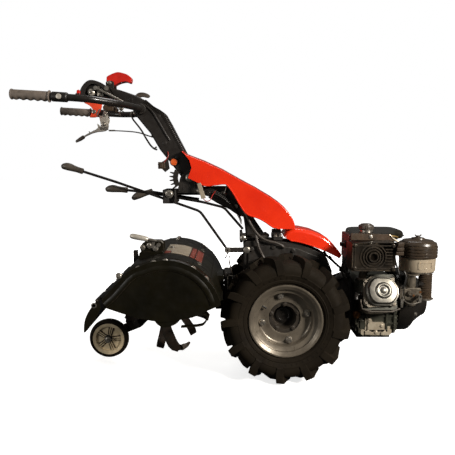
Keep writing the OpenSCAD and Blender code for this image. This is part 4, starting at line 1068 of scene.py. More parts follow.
def air_cleaner():
    x, y = 520, -112
    bowl = Shape().spin([(0, 0), (60, 0), (66, 3), (68, 8), (68.5, 56), (64.5, 56), (64.5, 7), (0, 5)],
                        (x, y, 430),
                        (0, 0, 1), 96)
    make("air_bowl", bowl, "smoke_plastic", replaces="air_bowl", sharp=40)
    base = Shape().spin([(0, 0), (62, 0), (64, 2), (64, 5), (0, 5)], (x, y, 426), (0, 0, 1), 64)
    make("air_bowl_foot", base, "cast_alloy", body="chassis")
    window = Shape()
    for a0, a1, z0, z1 in ((-106, -60, 470, 474), (-106, -60, 446, 448.5), (-106, -103.5, 446, 474),
                           (-62.5, -60, 446, 474)):
        steps = 10
        made = []
        for k in range(steps + 1):
            t = math.radians(a0 + (a1 - a0) * k / steps)
            made.append([(x + r * math.cos(t), y + r * math.sin(t), z)
                         for r, z in ((67, z0), (70, z0), (70, z1), (67, z1))])
        window.rings(made)
    make("air_bowl_window", window, "smoke_plastic", body="chassis", sharp=40)
    element = Shape().spin([(0, 0), (50, 0), (50, 46), (0, 46)], (x, y, 438), (0, 0, 1), 64)
    make("air_filter_element", element, "label_cream", body="chassis")
    ribs = [(0, 0), (73, 0), (74, 1.5), (74, 8), (69.5, 9), (69.5, 12), (74, 13), (74, 20), (69.5, 21),
            (69.5, 24),
            (74, 25), (74, 32), (69.5, 33), (69.5, 36), (74, 37), (73.6, 44), (69, 45), (69, 48), (71.5, 49),
            (69, 56), (60, 58), (60, 60), (56, 64), (40, 67), (26, 68), (24, 73), (10, 76), (0, 76)]
    cover = Shape().spin(ribs, (x, y, 486), (0, 0, 1), 96)
    make("air_cover", cover, "air_brown", replaces="air_cover", sharp=40)
    wing = Shape().spin([(0, 0), (8, 0), (7, 5), (5, 7), (0, 7)], (x, y, 561), (0, 0, 1), 32)
    for s in (-1, 1):
        wing.prism([(x + s * 3, 563), (x + s * 7, 563), (x + s * 14, 569), (x + s * 13, 572),
                    (x + s * 8, 571)],
                   y - 1.6, y + 1.6)
    make("air_cover_wing_nut", wing, "exhaust", body="chassis", bevel=0.6)
    hump = Shape()
    for k, (low, high) in enumerate(((494, 508), (511, 525), (528, 541))):
        hump.prism([(424 + 3 * k, low), (424 + 3 * k, high), (456, high + 2), (456, low)], -150, -110)
    hump.prism([(432, 494), (436, 544), (458, 546), (458, 494)], -144, -112)
    make("air_cover_duct", hump, "air_brown", body="chassis", bevel=3)
    hose = []
    for k in range(15):
        z = 7.0 * k
        hose += [(22.5, z), (26, z + 1.8), (26, z + 4.4), (22.5, z + 6.2)]
    duct = Shape().spin([(0, 0)] + hose + [(22, 106), (0, 106)], (540, -151, 322), (0, 0, 1), 48)
    make("air_intake", duct, "air_brown", replaces="air_intake", sharp=35)
    clamp = Shape().spin([(22, 0), (27, 0), (27, 7), (22, 7)], (540, -151, 324), (0, 0, 1), 48, closed=True)
    clamp.box((562, -158, 324), (572, -150, 331))
    make("air_intake_clamp", clamp, "zinc", body="chassis")


def engine_panel():
    shape = Shape()
    ring = []
    for cy, cz, a0 in ((44, 472, -90), (44, 556, 0), (-62, 556, 90), (-62, 472, 180)):
        ring += [(cy + 9 * math.cos(math.radians(a0 + 15 * k)), cz + 9 * math.sin(math.radians(a0 + 15 * k)))
                 for k in range(7)]
    shape.rings([[(x, y, z) for y, z in ring] for x in (260, 272)])
    make("engine_panel", shape, "dark_red_paint", replaces="engine_panel", bevel=2, segments=3)
    foot = Shape().box((261, -40, 401), (269, 40, 470))
    foot.box((261, -40, 401), (280, 40, 407))
    make("engine_panel_foot", foot, "cast_black", body="chassis", bevel=1.5)
    knob = Shape().spin([(0, 0), (14, 0), (15, 2), (15, 6), (9, 9), (9, 22), (0, 23)], (260, -20, 520),
                        (-1, 0, 0), 32)
    make("engine_key_switch", knob, "wire_black", body="chassis")
    loom = Shape()
    for k in range(3):
        loom.tube(flowing([(258, -60 + 4 * k, 478), (238, -68, 450 - 6 * k), (236, -74, 420),
                           (246, -84, 392 - 8 * k),
                           (258, -94, 360), (264, -104, 330 + 10 * k)], 6), 2.4, 8)
    make("engine_wiring", loom, "wire_black", body="chassis")


crankcase()
engine_foot()
cylinder()
valve_cover()
spark_plug()
muffler()
tank()
fuel_cap()
fan_cover()
carburettor()
air_cleaner()
engine_panel()

# ---- tiller ----

ROTOR = Vector((-445, 0, 300))
HOOD_HALF = 300
SHOULDER = 40          # radius of the rolled shoulder along each side of the tiller hood
HOOD_LINE = (arc(-445, 300, 208, 14, 116, 26)
             + [(-556, 482), (-576, 470), (-596, 453), (-616, 431), (-650, 393), (-683, 364)])


def inward(line, i):
    """The direction, in the X-Z plane, from point i of the hood line towards the rotor."""
    before, after = Vector(line[max(i - 1, 0)]), Vector(line[min(i + 1, len(line) - 1)])
    along = (after - before).normalized()
    return Vector((along.y, -along.x)) * -1


def tiller_hood():
    half_section = [(0, 0), (120, 0), (HOOD_HALF - SHOULDER, 0)]
    for k in range(1, 9):
        t = math.radians(90 * k / 8)
        half_section.append((HOOD_HALF - SHOULDER + SHOULDER * math.sin(t), SHOULDER * (1 - math.cos(t))))
    section = [(-y, d) for y, d in half_section[:0:-1]] + half_section
    rings = []
    for i, point in enumerate(HOOD_LINE):
        into = inward(HOOD_LINE, i)
        rings.append([(point[0] + into.x * d, y, point[1] + into.y * d) for y, d in section])
    shape = Shape().rings(rings, open_ring=True, capped=False)
    make("tiller_hood", shape, "tiller_sheet", replaces="tiller_hood", shell=3.2)
    detail = Shape()
    detail.prism([(-270, 262), (-270, 396), (-266, 400), (-240, 400), (-238, 396), (-238, 262)], -70, 70)
    front = HOOD_LINE[0]
    detail.tube([(front[0], -258, front[1]), (front[0], 258, front[1])], 4, 10)
    for a in (38, 62):
        t = math.radians(a)
        foot = Vector((-445 + 209 * math.cos(t), 0, 300 + 209 * math.sin(t)))
        detail.tube([foot + Vector((0, -252, 0)), foot + Vector((0, 252, 0))], 2.2, 8)
    make("tiller_mount_plate", detail, "tiller_sheet", body="chassis", bevel=1.0)
    seam = Shape()
    for s in (-1, 1):
        path = []
        for i, point in enumerate(HOOD_LINE):
            into = inward(HOOD_LINE, i)
            path.append((point[0] + into.x * SHOULDER, s * (HOOD_HALF - 2.2), point[1] + into.y * SHOULDER))
        seam.tube(path, 1.9, 8)
    make("tiller_hood_seam", seam, "exhaust", body="chassis")
    bolts = Shape()
    for x, y, z in ((-446, 200, 508), (-328, 100, 472), (-446, -40, 508), (-328, -200, 472), (-446, 262, 507),
                    (-328, 220, 472)):
        out = (Vector((x, 0, z)) - ROTOR).normalized()
        bolts.hexagon(Vector((-445, y, 300)) + Vector((out.x, 0, out.z)) * 207.6, (out.x, 0, out.z), 13, 7)
    for s in (-1, 1):
        for x, z in ((-552, 488), (-488, 499), (-445, 504), (-338, 482), (-296, 436)):
            out = (Vector((x, 0, z)) - ROTOR).normalized()
            spot = Vector((-445, s * 284, 300)) + Vector((out.x, 0, out.z)) * 199
            bolts.hexagon(spot, (out.x, s * 0.75, out.z), 12, 6)
        bolts.hexagon((-611, s * 288, 446), (0.1, s, 0.3), 13, 7)
    make("tiller_hood_bolts", bolts, "zinc", body="chassis")


def hood_label():
    """A blank plate stuck to the top of the tiller hood, in three plain fields."""
    def patch(x0, x1, y0, y1, lift):
        shape = Shape()
        steps = 14
        rings = []
        for k in range(steps + 1):
            x = x0 + (x1 - x0) * k / steps
            t = math.acos((x + 445) / 208)
            rings.append([(-445 + (208 + d) * math.cos(t), y, 300 + (208 + d) * math.sin(t))
                          for y, d in ((y0, lift), (y1, lift), (y1, -1), (y0, -1))])
        return shape.rings(rings)
    make("hood_label", patch(-462, -322, -165, 45, 0.7), "label_cream", body="chassis", sharp=50)
    make("hood_label_band", patch(-366, -322, -165, 45, 1.0), "label_red", body="chassis", sharp=50)
    make("hood_label_corner", patch(-462, -440, -165, -118, 1.0), "label_red", body="chassis", sharp=50)
    lines = Shape()
    for x0, x1, y0, y1 in ((-370, -366, -165, 45), (-440, -437, -165, -118), (-462, -440, -118, -115)):
        piece = patch(x0, x1, y0, y1, 1.2)
        lines.add(piece.points, piece.faces)
    make("hood_label_lines", lines, "wire_black", body="chassis", sharp=50)


def side_plates():
    outline = arc(-445, 300, 203, 11, 116, 24) + [(-576, 464), (-611, 428), (-674, 358), (-664, 331),
                                                  (-607, 311),
                                                  (-547, 292), (-500, 283), (-464, 277), (-420, 280),
                                                  (-349, 294),
                                                  (-318, 306), (-290, 321), (-262, 333)]
    skid = eased([(-390, 0, 255), (-329, 0, 259), (-307, 0, 264), (-295, 0, 282), (-294, 0, 304),
                  (-329, 0, 306)], 9)
    for word, s in SIDES.items():
        shape = Shape().prism(outline, s * 292, s * 296)
        make("side_plate_" + word, shape, "tiller_sheet", replaces="side_plate_" + word, bevel=0.8)
        detail = Shape()
        detail.spin([(16, 0), (44, 0), (44, 3), (34, 9), (30, 17), (16, 17)], (-445, s * 292, 300),
                    (0, -s, 0), 48,
                    closed=True)
        rings = []
        path = [(p.x, p.z) for p in skid]
        for y in (s * 272, s * 292):
            rings.append([(x, y, z) for x, z in path])
        rings = [list(pair) for pair in zip(*rings)]
        sheet = []
        for i, (a, b) in enumerate(rings):
            before, after = path[max(i - 1, 0)], path[min(i + 1, len(path) - 1)]
            along = Vector((after[0] - before[0], after[1] - before[1])).normalized()
            off = Vector((-along.y, 0, along.x)) * 4.5
            sheet.append([Vector(a), Vector(b), Vector(b) + off, Vector(a) + off])
        detail.rings(sheet)
        make("skid_" + word, detail, "tiller_sheet", body="chassis", sharp=40)


def tiller_drive():
    case = Shape().spin([(15, 0), (30, 0), (40, 6), (40, 120), (46, 128), (46, 190), (58, 196), (58, 206),
                         (15, 206)],
                        (-444, 0, 330), (1, 0, 0), 56)
    make("tiller_drive", case, "cast_black", replaces="tiller_drive", sharp=30)
    body_shape = Shape()
    body_shape.spin([(17.4, 0), (50, 0), (58, 5), (62, 14), (62, 66), (58, 75), (50, 80), (17.4, 80)],
                    (-445, -40, 300),
                    (0, 1, 0), 64)
    body_shape.prism([(-500, 334), (-496, 378), (-488, 386), (-410, 386), (-400, 376), (-400, 330)], -34, 34)
    for a in range(0, 360, 45):
        t = math.radians(a + 20)
        for s in (-1, 1):
            body_shape.hexagon((-445 + 50 * math.cos(t), s * 39, 300 + 50 * math.sin(t)), (0, s, 0), 11, 6)
    make("tiller_gear_case", body_shape, "cast_black", body="chassis", sharp=30)


FLANGES = (-240, -150, -60, 60, 150, 240)
TINE_TURNS = (-10, 15, -32, 36, 8, 66)
TINE_BENDS = (1, -1, -1, 1, 1, -1)


def rotor():
    shape = Shape().tube([(-445, -291, 300), (-445, 291, 300)], 16, 32)
    for s in (-1, 1):
        shape.spin([(0, 0), (23, 0), (24, 1), (24, 195), (23, 196), (0, 196)], (-445, s * 150 - 98, 300),
                   (0, 1, 0), 32)
        shape.spin([(0, 0), (30, 0), (30, 10), (0, 10)], (-445, s * 52 - 5, 300), (0, 1, 0), 32)
    for y in FLANGES:
        shape.spin([(0, 0), (54, 0), (56, 1.5), (56, 6.5), (54, 8), (0, 8)], (-445, y - 4, 300), (0, 1, 0),
                   48)
    make("rotor_shaft", shape, "tine_steel", replaces="rotor_shaft", sharp=30)
    bolts = Shape()
    for k, y in enumerate(FLANGES):
        for i in range(4):
            t = math.radians(-(90 * i + TINE_TURNS[k] + (20 if k in (0, len(FLANGES) - 1) else 0)))
            for r in (34, 48):
                spot = Vector((-445 + r * math.cos(t), y, 300 + r * math.sin(t)))
                side = TINE_BENDS[k]
                bolts.hexagon(spot + Vector((0, side * 12, 0)), (0, side, 0), 12, 7)
                bolts.hexagon(spot + Vector((0, -side * 4, 0)), (0, -side, 0), 12, 8)
    make("rotor_bolts", bolts, "tine_steel", body="rotor", sharp=25)


STRAIGHT_BLADE = [(28, 0, 0, 14), (44, 0, 0, 15), (66, 0, 0, 15), (88, 0, 0, 15), (106, 0.5, 1, 15),
                  (122, 3, 2, 15),
                  (134, 8, 3, 15.5), (144, 16, 4, 16), (151, 27, 5, 16), (155, 38, 6, 15), (157, 45, 6, 14)]
SWEPT_BLADE = [(28, 0, -9, 14), (44, 0, -4, 16), (60, 0, 4, 18), (78, 0, 13, 19), (96, 1, 23, 20),
               (112, 4, 32, 20),
               (126, 9, 41, 20), (137, 17, 52, 19), (142, 26, 64, 16), (139, 36, 78, 12), (130, 42, 92, 8),
               (118, 45, 101, 4)]


def blade(shape, y, turn, bend, stations):
    """A rotary blade. Each station is (out from the axis, sideways, swept back, half the width)."""
    t = math.radians(-turn)
    out = Vector((math.cos(t), 0, math.sin(t)))
    back = Vector((-math.sin(t), 0, math.cos(t)))
    side = Vector((0, bend, 0))
    foot = Vector((-445, y + bend * 4.2, 300))
    spine = [foot + out * r + side * sideways + back * swept for r, sideways, swept, half in stations]
    rings = []
    for i, centre in enumerate(spine):
        along = (spine[min(i + 1, len(spine) - 1)] - spine[max(i - 1, 0)]).normalized()
        flat = Vector((along.x, 0, along.z)).normalized()
        width = Vector((flat.z, 0, -flat.x))
        if width.dot(back) < 0:
            width = -width
        normal = along.cross(width).normalized()
        if normal.dot(side) < 0:
            normal = -normal
        half, thick = stations[i][3], 8 - 3.5 * i / (len(spine) - 1)
        rings.append([centre + width * w * half + normal * thick * lift
                      for w, lift in ((-1, 0.30), (-0.72, 0), (1, 0), (1, 1), (-0.72, 1), (-1, 0.55))])
    shape.rings(rings)


def tines():
    shape = Shape()
    for k, y in enumerate(FLANGES):
        for i in range(4):
            outer = k in (0, len(FLANGES) - 1)
            blade(shape, y, 90 * i + TINE_TURNS[k] + (20 if outer else 0), TINE_BENDS[k],
                  SWEPT_BLADE if outer else STRAIGHT_BLADE)
    make("tines", shape, "tine_steel", replaces="tines", bevel=0.7, sharp=30)


def rear_flap():
    line = flowing([(-689, 0, 358), (-706, 0, 338), (-722, 0, 314), (-733, 0, 290), (-738, 0, 266),
                    (-739, 0, 243)], 4)
    shape = Shape().rings([[(p.x, y, p.z) for y in (-299, -150, 0, 150, 299)] for p in line], open_ring=True,
                          capped=False)
    make("rear_flap", shape, "tiller_sheet", replaces="rear_flap", shell=3.0)
    detail = Shape()
    cheek = [(p.x + 1.5, p.z) for p in line] + [(-726, 249), (-712, 268), (-696, 292), (-676, 330),
                                                (-684, 352)]
    for s in (-1, 1):
        detail.prism(cheek, s * 299.6, s * 297)
    for y0, y1 in ((-299, -190), (-150, -40), (40, 150), (190, 299)):
        detail.spin([(4, 0), (7, 0), (7, y1 - y0), (4, y1 - y0)], (-688, y0, 358), (0, 1, 0), 20, closed=True)
    detail.tube([(-736.5, -297, 243), (-736.5, 297, 243)], 3.4, 10)
    make("rear_flap_edges", detail, "tiller_sheet", body="flap", sharp=40)
    bolts = Shape()
    for s in (-1, 1):
        bolts.hexagon((-700, s * 297.9, 340), (0, s, 0), 12, 0.9)
    make("rear_flap_bolts", bolts, "zinc", body="flap")
    pin = Shape().tube([(-688, -299, 358), (-688, 299, 358)], 3.8, 16)
    make("rear_flap_pin", pin, "zinc", body="chassis")


def depth_wheel():
    x, y, z = -742, 92, 86
    wall = [(69, 18), (70, 21), (73, 22), (79, 19.5), (84, 12), (86, 4), (86, 0)]
    shape = Shape().spin(wall + [(r, -h) for r, h in wall[-2::-1]], (x, y, z), (0, 1, 0), 96, closed=True)
    make("depth_tyre", shape, "tyre_rubber", replaces="depth_tyre", sharp=40)
    rim_shape = Shape()
    edge = [(54, 0), (54, 16), (55.5, 19), (63, 20), (69, 19.4), (70, 17), (69, 14)]
    rim_shape.spin(edge + [(r, -h) for r, h in edge[:0:-1]], (x, y, z), (0, 1, 0), 96, closed=True)
    rim_shape.spin([(13, -8), (34, -10), (56, -8), (56, 8), (34, 10), (13, 8)], (x, y, z), (0, 1, 0), 96,
                   closed=True)
    # painted shade: dark umber strips laid in the channels beside and between the spokes of the cream rim,
    # standing for the shade in those channels
    groove_shade = Shape()
    for k in range(5):
        t = math.radians(72 * k + 3)
        u, v = Vector((math.cos(t), 0, math.sin(t))), Vector((-math.sin(t), 0, math.cos(t)))
        for offs, half, reach, part in (((-3.6, 3.6), 1.7, 14.5, rim_shape),
                                        ((-8, 0, 8), 2.3, 11.2, groove_shade)):
            for off in offs:
                stations = []
                for r, wide in ((15, 0.8), (34, 1.0), (55 if part is rim_shape else 50, 1.3)):
                    c = Vector((x, y, z)) + u * r + v * off * (0.8 + r / 120)
                    stations.append([c + v * half * wide * a + Vector((0, reach * d, 0))
                                     for a, d in ((1, -1), (-1, -1), (-1, 1), (1, 1))])
                part.rings(stations)
    make("depth_rim", rim_shape, "cream_plastic", replaces="depth_rim", sharp=35)
    core = Shape().spin([(8.4, -20), (15, -20), (17, -18), (17, 18), (15, 20), (8.4, 20)], (x, y, z),
                        (0, 1, 0), 40,
                        closed=True)
    make("depth_rim_core", core, "cast_black", body="depth_wheel")
    # dark strips of painted shade in the rim's channels
    make("depth_rim_grooves", groove_shade, "umber_plastic", body="depth_wheel")


def depth_arm():
    post = Shape().box((-635, 122, 142), (-615, 142, 470))
    make("depth_arm", post, "tube_black", replaces="depth_arm", bevel=2.5, segments=3)
    detail = Shape()
    web = [(-607, 124), (-607, 148), (-614, 156), (-636, 158), (-748, 104), (-756, 92), (-754, 78),
           (-744, 72),
           (-730, 74)]
    detail.prism(web, 125, 139)
    detail.prism([(-635, 158), (-652, 150), (-635, 190)], 129, 135)
    detail.tube([(-742, 62, 86), (-742, 138, 86)], 8, 24)
    detail.spin([(0, 0), (14, 0), (14, 3), (0, 3)], (-742, 66, 86), (0, -1, 0), 24)
    for z in (210, 250, 290, 330, 370, 410):
        detail.spin([(0, 0), (5, 0), (5, 0.8), (0, 0.8)], (-625, 121.6, z), (0, -1, 0), 20)
    make("depth_arm_web", detail, "tube_black", body="depth_post", bevel=1.2)
    nut = Shape().hexagon((-742, 62, 86), (0, -1, 0), 16, 5)
    nut.hexagon((-742, 138, 86), (0, 1, 0), 16, 8)
    make("depth_axle_nuts", nut, "zinc", body="depth_post")


def clamp():
    shape = Shape()
    for y0, y1 in ((-140, -128), (-86, -74)):
        shape.prism([(-556, 500), (-552, 538), (-540, 548), (-482, 548), (-470, 540), (-468, 502)], y0, y1)
    shape.prism([(-566, 482), (-560, 506), (-470, 512), (-466, 506), (-468, 502), (-556, 476)], -150, -64)
    make("clamp_bracket", shape, "tiller_sheet", replaces="clamp_bracket", bevel=1.6)
    bars = Shape()
    for x, z in ((-548, 526), (-522, 533), (-498, 522)):
        bars.tube([(x, -148, z), (x, -66, z)], 5.5, 16)
        bars.hexagon((x, -144, z), (0, -1, 0), 13, 7)
    bars.prism([(-560, 508), (-560, 513), (-500, 517), (-500, 512)], -126, -88)
    bars.prism([(-516, 524), (-512, 546), (-500, 546), (-504, 524)], -146, -141)
    make("clamp_bars", bars, "zinc", body="chassis", sharp=30)
    lever = Shape()
    lever.tube([(-486, -153, 536), (-486, -61, 536)], 7.6, 20)
    lever.spin([(8, 0), (12, 0), (13, 1), (13, 25), (12, 26), (8, 26)], (-486, -120, 536), (0, 1, 0), 24)
    lever.tube(eased([(-486, -107, 538), (-512, -107, 549), (-540, -107, 553)], 12), 5.4, 16)
    make("clamp_lever", lever, "zinc", replaces="clamp_lever")
    grip_path = [(-532, -107, 552), (-536, -107, 553), (-548, -107, 555.5), (-566, -107, 559),
                 (-584, -107, 562.5),
                 (-597, -107, 565), (-603, -107, 566)]
    knob = Shape().tube(grip_path, [6, 8.5, 10, 11, 11, 9.5, 5], 24)
    make("clamp_lever_grip", knob, "lever_alloy", body="clamp")


tiller_hood()
hood_label()
side_plates()
tiller_drive()
rotor()
tines()
rear_flap()
depth_wheel()
depth_arm()
clamp()
make("drive_shaft", Shape().spin([(0, 0), (13, 0), (14, 1), (14, 588), (13, 590), (0, 590)], (-400, 0, 330),
                                 (1, 0, 0), 40), "zinc", replaces="drive_shaft")

# ---- handlebar ----

GRIP_HALF = 265
COLUMN_LINE = [(-690, 1143), (-643, 1132), (-585, 1113), (-545, 1093), (-512, 1066), (-468, 1044),
               (-426, 962),
               (-378, 874), (-348, 800), (-352, 778), (-372, 767), (-394, 777), (-451, 852), (-490, 900),
               (-528, 966), (-579, 1028), (-605, 1072), (-665, 1098)]


def column():
    shape = Shape().prism(COLUMN_LINE, -40, 40)
    make("column", shape, "black_plastic", replaces="column", bevel=9, segments=5)
    band = Shape()
    edge = flowing([(-541, 0, 1092), (-512, 0, 1068), (-474, 0, 1044), (-448, 0, 1004), (-424, 0, 958),
                    (-400, 0, 912), (-384, 0, 878)], 6)
    count = 44
    total = len(edge) - 1
    for k in range(count):
        f = k / (count - 1) * total
        i = min(int(f), total - 1)
        here = edge[i].lerp(edge[i + 1], f - i)
        along = (edge[i + 1] - edge[i]).normalized()
        off = Vector((-along.z, 0, along.x))
        if off.x < 0:
            off = -off
        points = [here + off * a + along * b + Vector((0, y, 0)) for y in (-42, 42)
                  for a, b in ((-14, -2.2), (1.5, -2.2), (1.5, 2.2), (-14, 2.2))]
        band.add(points, [[0, 1, 2, 3], [7, 6, 5, 4], [0, 4, 5, 1], [1, 5, 6, 2], [2, 6, 7, 3], [3, 7, 4, 0]])
    make("column_ribs", band, "gloss_plastic", body="handlebar", bevel=0.8)
    ridge = Shape()
    for s in (-1, 1):
        path = flowing([(-560, s * 39, 1082), (-521, s * 40.5, 1052), (-494, s * 41, 1012),
                        (-470, s * 41, 970),
                        (-456, s * 40, 946), (-450, s * 38, 936)], 6)
        ridge.tube(path, [2.5] + [5.0] * (len(path) - 2) + [2.5], 14)
        ridge.spin([(0, 0), (24, 0), (26, 2), (26, 6), (20, 10), (0, 11)], (-372, s * 40, 790), (0, s, 0), 40)
        for x, z in ((-600, 1096), (-494, 1030), (-420, 870), (-470, 926)):
            ridge.spin([(0, 0), (9, 0), (9, 1), (6, 2), (0, 2)], (x, s * 40, z), (0, s, 0), 20)
    make("column_ridge", ridge, "black_plastic", body="handlebar", sharp=45)
    cross = Shape()
    cross.tube([(-560, -80, 1056), (-560, 80, 1056)], 14, 28)
    for s in (-1, 1):
        cross.spin([(14, 0), (19, 0), (20, 1.5), (20, 20), (18, 22), (14, 22)], (-560, s * 42, 1056),
                   (0, s, 0), 32)
    make("handle_socket", cross, "cast_black", body="handlebar")
    box = Shape().box((-497, -48, 825), (-469, -36, 852))
    box.box((-490, -52, 830), (-478, -46, 846))
    make("connector_box", box, "umber_plastic", body="handlebar", bevel=2)
    bracket = Shape().prism([(-500, 842), (-470, 812), (-452, 826), (-458, 868)], -38, -34)
    make("connector_bracket", bracket, "cast_black", body="handlebar", bevel=1)
    wire = Shape().tube(flowing([(-474, -46, 850), (-464, -50, 862), (-456, -48, 876), (-458, -42, 892)], 7),
                        1.9, 8)
    make("column_wire", wire, "wire_red", body="handlebar")
    eye = Shape().spin([(0, 0), (13, 0), (14, 1.5), (13, 4), (8, 5.5), (0, 6)], (-434, -41, 852), (0, -1, 0),
                       40)
    make("side_reflector", eye, "reflector", body="handlebar")
    bezel = Shape().spin([(13, -1), (16.5, -1), (16.5, 3), (15, 4.4), (13, 4)], (-434, -41, 852), (0, -1, 0),
                         40,
                         closed=True)
    make("side_reflector_bezel", bezel, "gloss_plastic", body="handlebar")


def console():
    line = flowing([(-788, 1102), (-793, 1110), (-792, 1122), (-782, 1142), (-764, 1160), (-744, 1165),
                    (-714, 1157),
                    (-692, 1143), (-674, 1118), (-667, 1102)], 4)
    shape = Shape().rings([[(p.x, y, p.y) for y in (-64, -40, 0, 40, 64)] for p in line], open_ring=True,
                          capped=False)
    make("console", shape, "black_plastic", replaces="console", shell=5)
    cheeks = Shape()
    outline = [(p.x, p.y) for p in line]
    for s in (-1, 1):
        middle_point = Vector((-730, 1124))
        inner = [tuple(middle_point.lerp(Vector(p), 0.66)) for p in outline]
        for a, b, c, d in zip(outline, outline[1:], inner[1:], inner):
            cheeks.prism([a, b, c, d], s * 60, s * 65.4)
        cheeks.prism(inner, s * 48, s * 52)
    make("console_cheeks", cheeks, "black_plastic", body="handlebar", sharp=50)
    bottom = Shape().prism([(-788, 1098), (-788, 1104), (-667, 1104), (-667, 1098)], -62, 62)
    make("console_floor", bottom, "black_plastic", body="handlebar", bevel=1.5)
    inside = Shape()
    for s in (-1, 1):
        inside.spin([(0, 0), (12, 0), (13, 1), (13, 9), (8, 13), (0, 13)], (-748, s * 52, 1120), (0, s, 0),
                    32)
        inside.prism([(-726, 1106), (-726, 1122), (-716, 1130), (-704, 1126), (-704, 1106)], s * 50, s * 60)
    make("console_pivots", inside, "lever_alloy", body="handlebar", sharp=35)
    links = Shape()
    links.tube([(-728, -69, 1134), (-690, -70, 1115), (-650, -69, 1095), (-612, -65, 1075)],
               [5.4, 5, 4.6, 4.6], 14)
    links.spin([(0, 0), (7, 0), (8, 1), (8, 5), (0, 5)], (-729, -68, 1134), (0, -1, 0), 28)
    links.spin([(0, 0), (8, 0), (9, 1), (9, 6), (0, 6)], (-688, -62, 1134), (0, -1, 0), 28)
    links.hexagon((-748, -64, 1120), (0, -1, 0), 9, 5)
    links.hexagon((-714, -60, 1114), (0, -1, 0), 9, 5)
    links.prism([(-720, 1118), (-724, 1140), (-716, 1142), (-712, 1120)], -67, -64)
    make("console_links", links, "zinc", body="handlebar", sharp=40)
    under = Shape().prism([(-704, 1050), (-708, 1064), (-700, 1074), (-672, 1074), (-664, 1064),
                           (-668, 1048)], -58, 40)
    make("console_box", under, "umber_plastic", body="handlebar", bevel=3)
    bits = Shape()
    bits.tube([(-674, -62, 1076), (-636, -58, 1060)], 4, 14)
    bits.spin([(0, 0), (8, 0), (8, 6), (0, 6)], (-674, -58, 1075), (0, -1, 0), 20)
    bits.hexagon((-636, -54, 1060), (0, -1, 0), 12, 7)
    make("console_fittings", bits, "zinc", body="handlebar")
    ears = Shape()
    for y0, y1 in ((-27, -21), (21, 27)):
        ears.prism([(-700, 1136), (-700, 1162), (-694, 1168), (-674, 1168), (-668, 1162), (-668, 1128)], y0,
                   y1)
    make("stop_lever_ears", ears, "cast_black", body="handlebar", bevel=1.2)


def handle_line(s):
    return eased([(-560, s * 70, 1056), (-560, s * 88, 1056), (-618, s * 190, 1061), (-700, s * 256, 1067),
                  (-760, s * GRIP_HALF, 1071), (-966, s * GRIP_HALF, 1083)], 60, 8)


def handles():
    for word, s in SIDES.items():
        shape = Shape().tube(handle_line(s), 12.4, 28)
        make("handle_" + word, shape, "tube_black", replaces="handle_" + word)
        end = Vector((-974, s * GRIP_HALF, 1083.6))
        way = (Vector((-838, s * GRIP_HALF, 1075.6)) - end).normalized()
        down = Vector((way.z, 0, -way.x))
        stations = [(0, 14), (0.6, 17.4), (2, 18.5), (4.6, 18.5), (6, 17)]
        for k in range(60):
            stations.append((7 + 123 * k / 59, 16.8))
        stations += [(131, 17), (132, 20), (133.5, 21), (135, 21), (136.5, 19), (136.5, 13)]
        rings = []
        for along, r in stations:
            ring = []
            for k in range(36):
                t = 2 * math.pi * k / 36
                low = max(0.0, math.cos(t)) ** 2
                wave = 1.9 * math.cos(2 * math.pi * (along - 18) / 25.0) * low if 8 < along < 129 else 0.0
                fine = -0.45 * (1 if int(along / 2.1) % 2 else 0) * (1 - low) if 10 < along < 127 else 0.0
                ring.append(end + way * along + (down * math.cos(t) + Vector((0, 1, 0)) * math.sin(t))
                            * (r + wave + fine))
            rings.append(ring)
        grip = Shape().rings(rings)
        make("grip_" + word, grip, "grip_rubber", replaces="grip_" + word, sharp=50)
    button = Shape()
    for s in (-1, 1):
        button.disc((-803, s * GRIP_HALF + s * 15, 1073.6), (0, s, 0), 9.5, 4.5, 1.5)
    make("grip_buttons", button, "lever_alloy", body="handlebar")
    collar = Shape()
    for s in (-1, 1):
        collar.spin([(12.6, 0), (16.5, 0), (17, 1.5), (17, 50), (15, 53), (12.6, 53)],
                    (-830, s * GRIP_HALF, 1075.1),
                    (1, 0, -0.059), 36, closed=True)
    make("grip_collars", collar, "black_plastic", body="handlebar")
    trigger = Shape().prism([(-752, 1084), (-750, 1098), (-744, 1102), (-739, 1097), (-741, 1082)], -250,
                            -236)
    make("right_trigger", trigger, "red_plastic", body="handlebar", bevel=2)
    hinge = Shape().box((-754, -254, 1076), (-738, -234, 1088))
    make("right_trigger_mount", hinge, "gloss_plastic", body="handlebar", bevel=2)


def lever_bracket():
    shape = Shape()
    for y in (252, 274):
        shape.prism([(-800, 1062), (-797, 1082), (-761, 1080), (-757, 1040), (-768, 1012), (-782, 1008),
                     (-792, 1014)], y, y + 4)
    shape.prism([(-797, 1078), (-797, 1084), (-761, 1082), (-761, 1076)], 252, 278)
    make("lever_bracket", shape, "lever_alloy", body="handlebar", bevel=1)
    pins = Shape()
    pins.hexagon((-779, 251, 1024), (0, -1, 0), 12, 6)
    pins.hexagon((-774, 251, 1066), (0, -1, 0), 10, 5)
    pins.tube([(-779, 246, 1024), (-779, 284, 1024)], 4.6, 16)
    make("lever_bracket_pins", pins, "zinc", body="handlebar")
    catch = Shape()
    catch.spin([(5.2, 0), (9, 0), (9, 21), (5.2, 21)], (-815, 241.5, 1077), (0, 1, 0), 24, closed=True)
    make("latch_boss", catch, "cast_black", body="handlebar")


